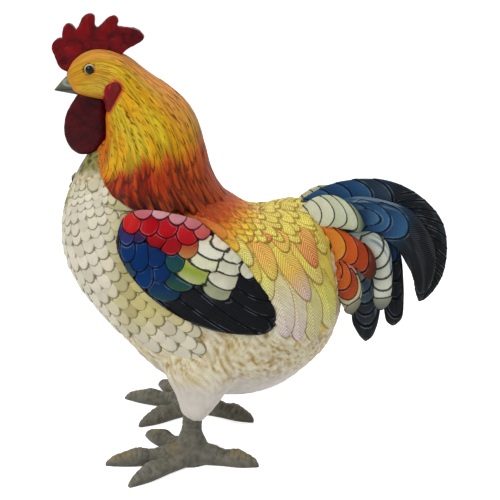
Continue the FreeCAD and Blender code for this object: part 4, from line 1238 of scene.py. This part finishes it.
GREEN_TILES = [((-48.8, 118.4), 24.0, ["#b8ac62", "#8a9a34", "#b0b47c"]),
               ((-39.8, 127.0), 20.5, ["#c9c25a", "#d0d2a8", "#d8d6c0"]),
               ((-35.8, 134.6), 20.5, ["#d8b890", "#d8d6c0", "#dbd9c8"]),
               ((-27.8, 140.2), 14.5, ["#d8b890", "#d8d6c0"])]
COVERTS = [  # tips and widths, row by row from the bottom up: blue, red, pink
    ((-68.0, 105.4), 25.0, ["#112f56", "#112e55", "#244149"]),
    ((-56.5, 112.1), 22.0, ["#123354", "#163c48", "#314f36"]), ((-68.8, 118.6), 14.0, ["#0b2d5d", "#0d2f5f"]),
    ((-80.0, 114.3), 12.6, ["#0c2c58", "#0f3366"]), ((-89.1, 120.6), 9.0, ["#253e59", "#31424f"]),
    ((-59.0, 125.5), 13.5, ["#172b40", "#183d48", "#234f48"]), ((-71.6, 128.0), 14.0, ["#162954", "#0b2d5d"]),
    ((-83.0, 125.5), 12.6, ["#0d2f63", "#0b2d5d"]), ((-91.4, 132.0), 10.6, ["#112c5b", "#0e3364"]),
    ((-50.4, 134.1), 14.5, ["#972613", "#a23819", "#b4804e"]), ((-60.6, 136.5), 13.8, ["#97141d", "#94161d"]),
    ((-71.0, 141.8), 14.5, ["#9e0c10", "#a11015", "#7c0e1a"]),
    ((-83.2, 144.7), 13.0, ["#7c0e1f", "#511027", "#172652"]),
    ((-91.6, 143.3), 11.0, ["#42163b", "#1e346c"]),
    ((-50.2, 143.5), 15.5, ["#c26068", "#b01b25", "#a5131b"]), ((-64.0, 148.3), 15.5, ["#ac1c27", "#a50e18"]),
    ((-76.4, 149.7), 13.8, ["#a50e18", "#a50e18"]), ((-88.2, 151.2), 12.4, ["#bb2e24", "#b41219"]),
    ((-40.2, 147.3), 12.0, ["#c26e68", "#b74848"]), ((-46.9, 154.0), 13.8, ["#d08c93", "#b76168"]),
    ((-57.6, 157.0), 13.4, ["#d0a0a7", "#c27b83"]), ((-68.6, 160.7), 13.4, ["#d0a3aa", "#c99096"]),
    ((-80.4, 160.9), 13.4, ["#c98089", "#b45964"]),
]

# %% Laying one wing
FLIGHT_SHAPE = dict(level=-0.3, rise=1.1, pillow=0.5, bow=-0.03, blunt=0.3, waist=0.8, barb=(1.6, 1.2),
                    rib=0.3)
CREAM_SHAPE = dict(level=0.1, rise=1.8, pillow=0.5, blunt=0.24, waist=0.95, lines=1.35)
GREEN_SHAPE = dict(level=0.4, rise=1.9, pillow=0.5, blunt=0.24, waist=0.95, lines=1.7)
LOW_COVERT_SHAPE = dict(level=0.3, rise=2.0, pillow=0.7, blunt=0.36, waist=0.9)
COVERT_SHAPE = dict(level=0.4, rise=2.2, pillow=0.8, blunt=0.42, waist=0.8)
CREAM_TONES, SHADED_TONES = ["#8a8a6c", "#c2c0a6", "#d3d1bc"], ["#5f6048", "#8d9070", "#a3a586"]


def lay_wing(relief):
    """All the feathers of a wing on its relief. A tile's root lies above and behind its tip."""
    inside, away = field(relief, WING_OUTLINE, "#16181c")
    for root, tip in FLIGHT:
        lay(relief, root, tip, 13.5, ["#1a1c20", "#0e0f12", "#0a0b0d"], **FLIGHT_SHAPE)
    for (s, t), width, lean in CREAM_TILES:
        tones = CREAM_TONES if t > 110 else SHADED_TONES
        lay(relief, (s + 16 * lean, t + 16), (s, t), width, tones, **CREAM_SHAPE)
    for (s, t), width, colours in COVERTS[:2]:
        lay(relief, (s + 4.0, t + 18), (s, t), width, colours, **LOW_COVERT_SHAPE)
    for (s, t), width, colours in GREEN_TILES:
        lay(relief, (s + 6.5, t + 15), (s, t), width, colours, **GREEN_SHAPE)
    for (s, t), width, colours in COVERTS[2:]:
        lean = 3.0 if s > -60 else 0.6
        lay(relief, (s + lean, t + 20), (s, t), width * 1.04, colours, **COVERT_SHAPE)
    lip = rounded(away / 1.6)
    relief["height"] = np.where(inside, relief["height"] * lip - 1.0 * (1 - lip), EMPTY_HEIGHT)
    relief["groove"] = np.where(inside, np.minimum(relief["groove"], away), away)
    relief["covered"] = inside


# %% A wing's grid, carried on from the drawing to the casting
COARSE = 3.0  # mm between two rays
WING_ROWS, WING_COLUMNS = 228, 270


def wing_grid(name, side):
    """The drawing's places on a fine grid, how deep the body lies there, and how far the wing
    stands before it."""
    s, t = np.meshgrid(np.arange(-104, 22, COARSE), np.arange(176, 72, -COARSE))
    body_depth = depth_map(body_skin, s, t, side)
    over = depth_map(skin_of(name), s, t, side) - body_depth
    for _ in range(2):
        beside = over[:-2, 1:-1] + over[2:, 1:-1] + over[1:-1, :-2] + over[1:-1, 2:]
        over[1:-1, 1:-1] = (over[1:-1, 1:-1] * 2 + beside) / 6
    layers = finer(np.stack([s, t, body_depth, over], axis=-1), WING_ROWS, WING_COLUMNS)
    return tuple(layers[..., i] for i in range(4))


def wing_piece(name, side):
    """One wing's feathers over its CAD node. Outside its outline the grid sinks into the body."""
    s, t, body_depth, over = wing_grid(name, side)
    relief = bare(s, t)
    lay_wing(relief)
    top = at_depth(s, t, body_depth + np.minimum(over, -0.8 * MM), side)
    out = facing(top) * (-side)
    out *= np.sign((out[..., 1] * side).mean())
    raised = top + out * relief["height"][..., None] * MM
    sunk = at_depth(s, t, body_depth + 1.2 * MM, side)
    points = np.where(relief["covered"][..., None], raised, sunk)
    if side > 0:
        points = points[:, ::-1]
        relief = {mark: values[:, ::-1] for mark, values in relief.items()}
    made = grid_piece(name + "_feathers", points, wing_paint, paint_marks(relief), keep=relief["covered"])
    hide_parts(name)


wing_piece("wing_left", -1)
wing_piece("wing_right", 1)

# %% [markdown]
# ## The saddle
# Narrow golden feathers hang from the back over the flank. They are laid on the body's own rings, so
# that they run on over the ridge of the back, and their places come from the side drawing.

# %% The saddle's drawing
SADDLE_OUTLINE = [(-38, 185.0), (-10, 205.0), (25.4, 205), (45, 196), (52, 170.0), (56.4, 134.4),
                  (60.5, 114.4), (61.2, 98.8), (57.0, 86.0), (46.0, 75.5), (38.0, 74.5), (29.8, 75.0),
                  (21.0, 77.5), (15.5, 84.0), (11.5, 101.9), (1.2, 119.7), (-9.6, 133.2),
                  (-20.4, 144.8), (-31.9, 155.6), (-42.7, 164.2)]
LILAC_TIPPED = ["#d6c85a", "#dcdabb", "#d6c8d6"]
LARGE_FEATHERS = [  # root, tip, width and colours
    ((34.5, 121.0), (42.5, 76.0), 17.0, ["#c9cc60", "#d0d08c", "#c9c89a"]),
    ((45.0, 128.0), (55.0, 86.0), 17.0, ["#d0c040", "#d8da58", "#cfd0a0"]),
    ((22.5, 123.7), (31.0, 76.0), 16.0, LILAC_TIPPED),
    ((8.3, 128.6), (22.0, 78.6), 19.5, LILAC_TIPPED),
    ((0.8, 140.0), (9.5, 104.0), 11.5, ["#e4da52", "#d8da58", "#d0d29a"]),
    ((13.3, 143.6), (38.1, 106.0), 15.0, ["#e4d63e", "#e0b030", "#cdbcc4"]),
    ((24.0, 152.0), (47.0, 118.0), 14.0, ["#d9a030", "#e4d63e", "#cfc26a"]),
    ((-1.7, 150.2), (13.0, 120.0), 13.0, ["#e0a030", "#dfa52e", "#d8c83c"]),
    ((21.2, 168.5), (43.2, 130.0), 15.0, ["#d9b030", "#dd9a2c", "#d05a20"]),
    ((35.0, 170.0), (51.0, 140.0), 13.0, ["#d8b83a", "#e6ce40", "#c9c04a"]),
    ((-24.0, 152.7), (-3.0, 130.0), 11.5, ["#dca23a", "#e4da52", "#d2d67a"]),
    ((9.5, 160.0), (22.5, 140.0), 12.0, ["#d9701f", "#e0a22a", "#e6ce40"]),
    ((-13.4, 162.8), (-3.0, 147.5), 11.5, ["#dd8a2c", "#e0b83a", "#d9a02c"]),
    ((-0.8, 163.3), (9.6, 147.0), 11.5, ["#d97a30", "#dd7a3a", "#d9803a"]),
]
EDGE_FEATHERS = [  # beside the wing: root, tip and colours
    ((8, 107), (13, 90), ["#c9cc4a", "#c4c85a"]), ((3, 119), (11.5, 97), ["#d0cc40", "#d8da58"]),
    ((-4, 129), (7.5, 108), ["#d8c63c", "#ccd04a"]), ((-11, 138), (2.5, 118), ["#dcb43a", "#d4cc44"]),
    ((-20.5, 148), (-5, 129), ["#dca236", "#d8c63c"]), ((-31, 157), (-13, 140), ["#d8862e", "#dcb23a"]),
    ((-39, 164), (-22, 149), ["#c9602a", "#d9903a"])]
LARGE_SHAPE = dict(rise=1.5, pillow=1.0, bow=0.04, blunt=0.6, waist=0.6, soft=2.2, barb=(2.4, 1.3), rib=0.45)
EDGE_SHAPE = dict(level=0.2, rise=1.3, pillow=0.8, bow=0.03, blunt=0.7, waist=0.6, soft=1.6, rib=0.4)
SMALL_SHAPE = dict(level=0.2, rise=1.3, pillow=0.6, bow=0.03, blunt=0.9, waist=0.4, soft=1.4, rib=0.3,
                   lines=0.8)

# %% Colours of the small feathers
SADDLE_TONES = ["#a8321c", "#d0581e", "#e2922a", "#e8c038", "#e2d64a"]


def past_cape(s, t):
    """How far a place lies from the cape towards the tail and the flank, in mm of the drawing."""
    return s * 0.9 - (t - 165) * 0.55


def saddle_colour(s, t):
    """Red by the cape, then orange, then yellow, each a little lighter or darker by chance."""
    mixed = gradient(ease(past_cape(s, t), -34, 14), SADDLE_TONES)
    mixed = np.clip(mixed * rng.uniform(0.85, 1.15), 0, 1)
    screen = np.where(mixed <= 0.0031308, mixed * 12.92, 1.055 * mixed ** (1 / 2.4) - 0.055)
    return "#%02x%02x%02x" % tuple(int(round(255 * v)) for v in np.clip(screen, 0, 1))


# %% The saddle's grid and its ground
SADDLE_ARC = (-0.33, 0.33)  # shares of a turn, each side of the ridge of the back
saddle_at = ring_grid(body_skin, BODY_CHORDS[2:], 40, 70, 330, 400, arc=SADDLE_ARC)
saddle_out = facing(saddle_at)
saddle_out *= np.sign(saddle_out[..., 2].mean())
saddle_s, saddle_t = drawn_at(saddle_at)
saddle = bare(saddle_s, saddle_t)
field(saddle, SADDLE_OUTLINE, "#d8c456")
saddle["height"] = np.where(saddle["covered"], 0.35, saddle["height"])
saddle["paint"] = blended(saddle["paint"], "#cc5a20", ease(saddle_s, 4, -18))
saddle["covered"] &= (saddle_t > 140) | (saddle_s > 41)

# %% All the saddle's feathers
feathers = [(*feather, LARGE_SHAPE) for feather in LARGE_FEATHERS]
for root, tip, colours in EDGE_FEATHERS:
    barb = (2.3, 1.3) if root[0] > -25 else None
    feathers.append((root, tip, 11.0, colours, {**EDGE_SHAPE, "barb": barb}))
for row in range(9):
    for column in range(16):
        s = 44 - column * 6.2 + 3.1 * (row % 2) + rng.uniform(-1, 1)
        t = 147 + row * 4.6 + rng.uniform(-0.8, 0.8)
        if s * 0.62 + t < 141.5 or t > 186 or (s > 4 and (row + column) % 2):
            continue
        size = 1.0 + 0.45 * ease(s, -4, 14)
        width = rng.uniform(6.0, 8.0) * size
        colours = [saddle_colour(s - 7, t + 5), saddle_colour(s, t)]
        barb = (2.2, 1.2) if s > 2 else None
        feathers.append(((s - 14.1 * size, t + 9.5 * size), (s, t), width, colours,
                         {**SMALL_SHAPE, "barb": barb}))


# %% Laying them from the tail to the cape
def towards_cape(feather):
    """How far forwards and up a feather's root lies. The later ones lie on top."""
    s, t = feather[0]
    return t * 0.56 - s * 0.83


for root, tip, width, colours, shape in sorted(feathers, key=towards_cape):
    lay(saddle, root, tip, width, colours, **shape)
print("saddle feathers:", len(feathers))
saddle_marks = paint_marks(
    saddle, across=saddle_s * 0.558 + saddle_t * 0.83, along=saddle_s * 0.83 - saddle_t * 0.558,
    dashed=ease(past_cape(saddle_s, saddle_t), 16, -16))
grid_piece("saddle_feathers", saddle_at + saddle_out * saddle["height"][..., None] * MM, saddle_paint,
           saddle_marks, keep=saddle["covered"])

# %% [markdown]
# ## Comb, wattles and ear lobes
# These are cast by themselves and coated in glossy crimson over a nearly black red, so the hollows
# stay dark. A copy of each casting is wrapped in fine squares, and lumps of two sizes are pushed in.

# %% Fleshy pieces
def lumpy(name, square, coarse, fine, colours, hollow=0.55):
    """A casting with lumps of 6 and 2 mm and two paints, the darker one in its hollows."""
    at, out, faces = wrapped(name + "_wrapped", (name,), square, 3)
    big, small = cloud(at / MM, 5.5, 61), cloud(at / MM, 2.1, 62)
    height = big * coarse + small * fine
    share = np.clip(0.5 + big * 0.55 + small * 0.35, 0, 1)
    made = make_piece(name + "_flesh", at + out * height[:, None] * MM, faces, flesh_paint,
                      {"paint": blended(*colours, share), "groove": hollow + share})
    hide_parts(name)


# Glossy crimson enamel over nearly black red, which stays in the hollows.
flesh_paint = painted("glossy_crimson_over_dark_red", "#24040a", reach=(0.2, 1.0), strength=0.6, rough=0.3,
                      coat=0.04, speck=0.08, grain=0.6, shine=0.08)
lumpy("comb", 0.55, 0.4, 0.25, ("#4a050c", "#78090f"))
for side in ("left", "right"):
    lumpy("wattle_" + side, 0.6, 0.25, 0.12, ("#2c0409", "#4a0710"), 0.8)
    lumpy("ear_lobe_" + side, 0.35, 0.12, 0.15, ("#6c0a14", "#8a101c"), 0.9)

# %% [markdown]
# ## Beak and eyes
# The beak is painted grey green, with a dark line between its halves and a nostril on each side.
# The eyes are glass-bright beads, black with a pale gold ring. Both replace a plainer casting: the
# beak follows rings set along its length, and a bead's ring is painted by the distance from its
# middle.

# %% The beak's rings
BEAK = [(-125.0, 296.4, 280.6, 6.0), (-130.0, 296.9, 281.4, 5.9), (-134.5, 296.7, 282.2, 5.3),
        (-138.5, 294.6, 282.9, 4.4), (-142.0, 291.2, 283.5, 3.3), (-144.8, 288.0, 284.0, 2.1),
        (-146.6, 285.9, 284.4, 0.9), (-147.2, 285.2, 284.7, 0.3)]  # x, top, foot and half width in mm
x, high, low, half = through(BEAK, 60).T[..., None]
turn = np.linspace(0, 2 * np.pi, 64, endpoint=False)[None]
rise = np.cos(turn)
beak_y = middle_y / MM + half * np.sin(turn) * (1 - 0.25 * rise.clip(0, 1))
beak_at = np.stack([x + 0 * turn, beak_y, (high + low) / 2 + (high - low) / 2 * rise], axis=-1)

# %% Its mouth line, nostrils and horn colours
mouth_away = np.abs(beak_at[..., 2] - np.interp(beak_at[..., 0], [-147.2, -126.5], [285.0, 286.4]))
nostril_away = np.hypot((beak_at[..., 0] + 135.5) / 1.8, beak_at[..., 2] - 291.2)
mark_away = np.minimum(mouth_away, nostril_away)
ridged = cloud(beak_at / np.array([6.0, 1.2, 1.2]), 1.0, 71)
beak_height = 0.08 * ridged - 0.6 * (1 - ease(mark_away, 0.1, 0.9)) * ease(x, -146.8, -144.0)
beak_out = facing(beak_at, True)
beak_out *= np.sign((beak_out[..., 2] * rise).mean())
# Lighter on top and darker underneath: painted light and shade.
beak_colour = blended("#4a5044", "#5f6656", ease(rise, -0.4, 0.7))
beak_colour = blended(beak_colour, "#b4b6a2", np.exp(-((nostril_away - 2.2) / 0.8) ** 2) * 0.5)
# Grey green acrylic like horn, with a satin lacquer that is a little glossier than the feathers'.
beak_paint = painted("satin_grey_green_horn", "#23261f", reach=(0.2, 0.8), rough=0.36, coat=0.05, shine=0.15)
beak_piece = grid_piece("beak_horn", (beak_at + beak_out * beak_height[..., None]) * MM, beak_paint,
                        {"paint": beak_colour, "groove": mark_away}, closed=True, tips=(True, True))
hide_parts("beak")


# %% The gloss of an eye
EYE_RINGS = [(0.0, "#050505"), (0.60, "#070606"), (0.66, "#b9a878"), (0.76, "#cdbf96"), (0.84, "#3a2a16")]
EYE_REACH = 5.0  # mm from a bead's middle, which is 1 in the rings above


def eye_gloss(name, centre):
    """Black in the middle, a pale gold ring, and dark again at the rim, by distance from the middle."""
    material, tree = fresh_material(name)
    place = add(tree, "ShaderNodeTexCoord", out="Object")
    away = add(tree, "ShaderNodeVectorMath", [place, centre], operation="SUBTRACT")
    flat = add(tree, "ShaderNodeVectorMath", [away, (1 / MM, 0.0, 1 / MM)], operation="MULTIPLY")
    reach = add(tree, "ShaderNodeVectorMath", [flat], out="Value", operation="LENGTH")
    share = add(tree, "ShaderNodeMapRange", {"Value": reach, "From Max": EYE_REACH})
    rings = add(tree, "ShaderNodeValToRGB", [share], stops=EYE_RINGS)
    shader = add(tree, "ShaderNodeBsdfPrincipled", {
        "Base Color": rings, "Roughness": 0.1, "Specular IOR Level": 0.15, "Coat Weight": 0.06,
        "Coat Roughness": 0.05, "IOR": 1.5})
    add(tree, "ShaderNodeOutputMaterial", {"Surface": shader})
    return material


# %% A bead on each side
rise = np.linspace(0, np.pi, 33)[:, None]
turn = np.linspace(0, 2 * np.pi, 48, endpoint=False)[None]
ball = np.stack([np.sin(rise) * np.cos(turn), np.sin(rise) * np.sin(turn), np.cos(rise) + 0 * turn], axis=-1)
for side in ("left", "right"):
    low, high = (np.array(corner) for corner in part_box("eye_" + side))
    centre, half = (low + high) / 2, (high - low) / 2
    gloss = eye_gloss("black_bead_gold_ring_" + side, tuple(centre))
    bead = grid_piece("eye_bead_" + side, (centre + ball * half)[1:-1], gloss, {}, closed=True,
                      tips=(True, True))
    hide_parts("eye_" + side)
    print("eye", side, np.round(centre / MM, 1), round(half[0] * 2 / MM, 1), "mm")

# %% [markdown]
# ## Legs and feet
# The legs are painted grey brown, with tan brushed over the scales. The scales are shallow grooves
# across the shank and the toes, pushed in where the surface faces forwards or up.

# %% Scales across the shank and the toes
SHANK_SCALE, TOE_SCALE = 4.6, 4.3  # mm from one groove to the next


def scale_lines(at, out):
    """How far each point of a leg is from the nearest groove between two scales, in mm."""
    height = at[:, 2] / MM
    shank_foot = (at[:, 2] > 24 * MM) & (at[:, 2] < 40 * MM)
    axis = at[shank_foot].mean(axis=0)
    reach = np.hypot(at[:, 0] - axis[0], at[:, 1] - axis[1]) / MM
    wobble = cloud(at / MM, 6.0, 83) * 0.8
    toe_run, shank_run = (reach + wobble) / TOE_SCALE, (height + wobble) / SHANK_SCALE
    toe_line = np.abs(toe_run - np.round(toe_run)) * TOE_SCALE
    shank_line = np.abs(shank_run - np.round(shank_run)) * SHANK_SCALE
    on_toe = (1 - ease(height, 17, 24)) * ease(out[:, 2], 0.1, 0.5) * ease(reach, 14, 19)
    on_shank = ease(height, 20, 26)
    return np.minimum(toe_line + 6 * (1 - on_toe), shank_line + 6 * (1 - on_shank))


# %% Scaly legs
# Matt grey brown acrylic. The tan where the surface faces up is dry brushing and a painted highlight, and the
# paint is lighter on top and darker underneath as painted light and shade.
leg_paint = painted("matt_grey_olive_dry_brushed", "#35322a", reach=(0.15, 0.8), strength=0.6, rough=0.55,
                    speck=0.16, grain=0.9, shine=0.15)
for side in ("left", "right"):
    at, out, faces = wrapped("leg_wrapped_" + side, ("leg_" + side,), 0.8, 4)
    line = scale_lines(at, out)
    rough = cloud(at / MM, 3.2, 81) * 0.25 + cloud(at / MM, 1.3, 82) * 0.15
    above_sole = ease(at[:, 2] / MM, 0.3, 1.5)
    height = (rough - 0.45 * (1 - ease(line, 0.0, 1.0))) * above_sole
    share = np.clip(0.5 + rough * 1.6 + 0.2 * cloud(at / MM, 12, 84), 0, 1)
    tan = ease(cloud(at / MM, 9.0, 85), 0.0, 0.6) * ease(out[:, 2], 0.2, 0.8)
    paint = blended(blended("#55534c", "#7c786a", share), "#8d7c54", 0.5 * tan)
    # Lighter where the surface faces up and darker where it faces down: painted light and shade.
    paint = paint * (0.8 + 0.3 * ease(out[:, 2], -0.5, 0.7))[:, None]
    made = make_piece("leg_scaly_" + side, at + out * height[:, None] * MM, faces, leg_paint,
                      {"paint": paint, "groove": line + 0.2})
    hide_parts("leg_" + side)

# %% [markdown]
# ## Fittings inside
# The rods, pins, pegs and the plug are hardly seen, but they get their real finishes: drawn steel
# with fine lines along it, unpainted resin with tiny pores, and dull rubber.

# %% Steel, bare resin and rubber
def bare_finish(name, colour, other, scale, rough, metal, stretch=(1.0, 1.0, 1.0)):
    """A finish of two close tones in a fine pattern, with a matching bump."""
    material, tree = fresh_material(name)
    place = add(tree, "ShaderNodeTexCoord", out="Object")
    stretched = add(tree, "ShaderNodeVectorMath", [place, stretch], operation="MULTIPLY")
    grain = add(tree, "ShaderNodeTexNoise", {"Vector": stretched, "Scale": scale, "Detail": 3.0})
    tones = add(tree, "ShaderNodeMix", {0: grain, 6: colour, 7: other}, **COLOUR_MIX)
    bump = add(tree, "ShaderNodeBump", {"Height": grain, "Strength": 0.4, "Distance": 0.0001})
    shader = add(tree, "ShaderNodeBsdfPrincipled", {
        "Base Color": tones, "Roughness": rough, "Metallic": metal, "Normal": bump})
    add(tree, "ShaderNodeOutputMaterial", {"Surface": shader})
    return material


# Drawn wire is bright along fine lines, bare resin is chalky, and the plug's rubber is dull.
steel = bare_finish("drawn_steel", "#8d8f92", "#b4b6b8", 900.0, 0.35, 1.0, (1.0, 1.0, 0.05))
resin = bare_finish("bare_cast_resin", "#c9c4b6", "#d8d4c8", 700.0, 0.55, 0.0)
rubber = bare_finish("dull_plug_rubber", "#26262a", "#34343a", 1200.0, 0.7, 0.0)
for node, finish in (("comb_pins", steel), ("tail_pins", steel), ("armature_rod_left", steel),
                     ("armature_rod_right", steel), ("wing_pegs", resin), ("pour_plug", rubber)):
    mesh = frame["nodes"][node].data
    mesh.materials.clear()
    mesh.materials.append(finish)
    print(node, "is", finish.name)

# %% [markdown]
# ## Camera, light and ground
# The photo is a studio picture on white, from a little above, with the bird seen from its left side.
# The camera's place was worked out from the feet on the ground and the top of the comb. White comes
# from a little light that the floor and the room give off only where they are seen, so that nothing
# brightens the bird.

# %% The camera at the photo's angle
LENS_MM, SENSOR_MM = 74.52, 36.0
LOOKING_DOWN = 19.74  # degrees
camera_data = bpy.data.cameras.new("photo_camera")
camera_data.lens, camera_data.sensor_width = LENS_MM, SENSOR_MM
camera = put("photo_camera", camera_data)
camera.location = (-0.00453, -0.75425, 0.430)
camera.rotation_euler = (math.radians(90 - LOOKING_DOWN), 0, 0)
bpy.context.scene.camera = camera
bpy.context.scene.view_settings.view_transform = "Standard"

# %% Three soft boxes
SOFT_BOXES = [  # name, place, aim, size in metres and power in watts
    ("key_soft_box", (-0.7, -0.9, 1.1), (-0.02, 0, 0.18), 0.6, 11),
    ("fill_soft_box", (1.0, -0.6, 0.7), (0, 0, 0.18), 1.0, 2.5),
    ("top_soft_box", (0.1, 0.3, 1.3), (0, 0, 0.15), 0.9, 5)]
for name, place, aim, size, power in SOFT_BOXES:
    lamp = bpy.data.lights.new(name, "AREA")
    lamp.size, lamp.energy = size, power
    soft_box = put(name, lamp)
    soft_box.location = place
    soft_box.rotation_euler = (Vector(aim) - Vector(place)).to_track_quat("-Z", "Y").to_euler()
    print(name, power, "W")


# %% White ground
def seen_rays(tree):
    """1 for the rays in which the background is seen: straight, in gloss, or through glass."""
    rays = add(tree, "ShaderNodeLightPath").node.outputs
    seen = add(tree, "ShaderNodeMath", [rays["Is Camera Ray"], rays["Is Glossy Ray"]], operation="MAXIMUM")
    return add(tree, "ShaderNodeMath", [seen, rays["Is Transmission Ray"]], operation="MAXIMUM")


FLOOR_HALF = 6  # m
corners = [(x * FLOOR_HALF, y * FLOOR_HALF, 0) for x, y in ((-1, -1), (1, -1), (1, 1), (-1, 1))]
floor_mesh = bpy.data.meshes.new("studio_floor")
floor_mesh.from_pydata(corners, [], [(0, 1, 2, 3)])
studio_floor = put("studio_floor", floor_mesh)
# Matt white paint: no gloss, so the bird's shadow stays soft and grey.
floor_coat, paper = fresh_material("matt_white_studio_paint")
lift = add(paper, "ShaderNodeMath", [seen_rays(paper), 0.7], operation="MULTIPLY")
white = add(paper, "ShaderNodeBsdfPrincipled", {
    "Base Color": "#fafafa", "Roughness": 0.9, "Emission Color": "#ffffff", "Emission Strength": lift})
add(paper, "ShaderNodeOutputMaterial", {"Surface": white})
floor_mesh.materials.append(floor_coat)

# %% A white room around it
ROOM_LIGHT = 0.3  # strength on the object, where 1 is white
world = bpy.data.worlds.new("white_room")
world.use_nodes = True
bpy.context.scene.world = world
room = world.node_tree
room.nodes.clear()
level = add(room, "ShaderNodeMapRange", {"Value": seen_rays(room), "To Min": ROOM_LIGHT, "To Max": 1.0})
backdrop = add(room, "ShaderNodeBackground", {"Color": "#ffffff", "Strength": level})
add(room, "ShaderNodeOutputWorld", {"Surface": backdrop})

# %% Everything rides on the one body, and each piece's triangles are counted
for piece in list(bpy.context.scene.objects):
    if piece.type == "MESH" and piece.name not in frame["nodes"] and piece != studio_floor:
        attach(piece, "root")
        triangles = sum(len(face.vertices) - 2 for face in piece.data.polygons)
        print("%-32s %7d triangles" % (piece.name, triangles))
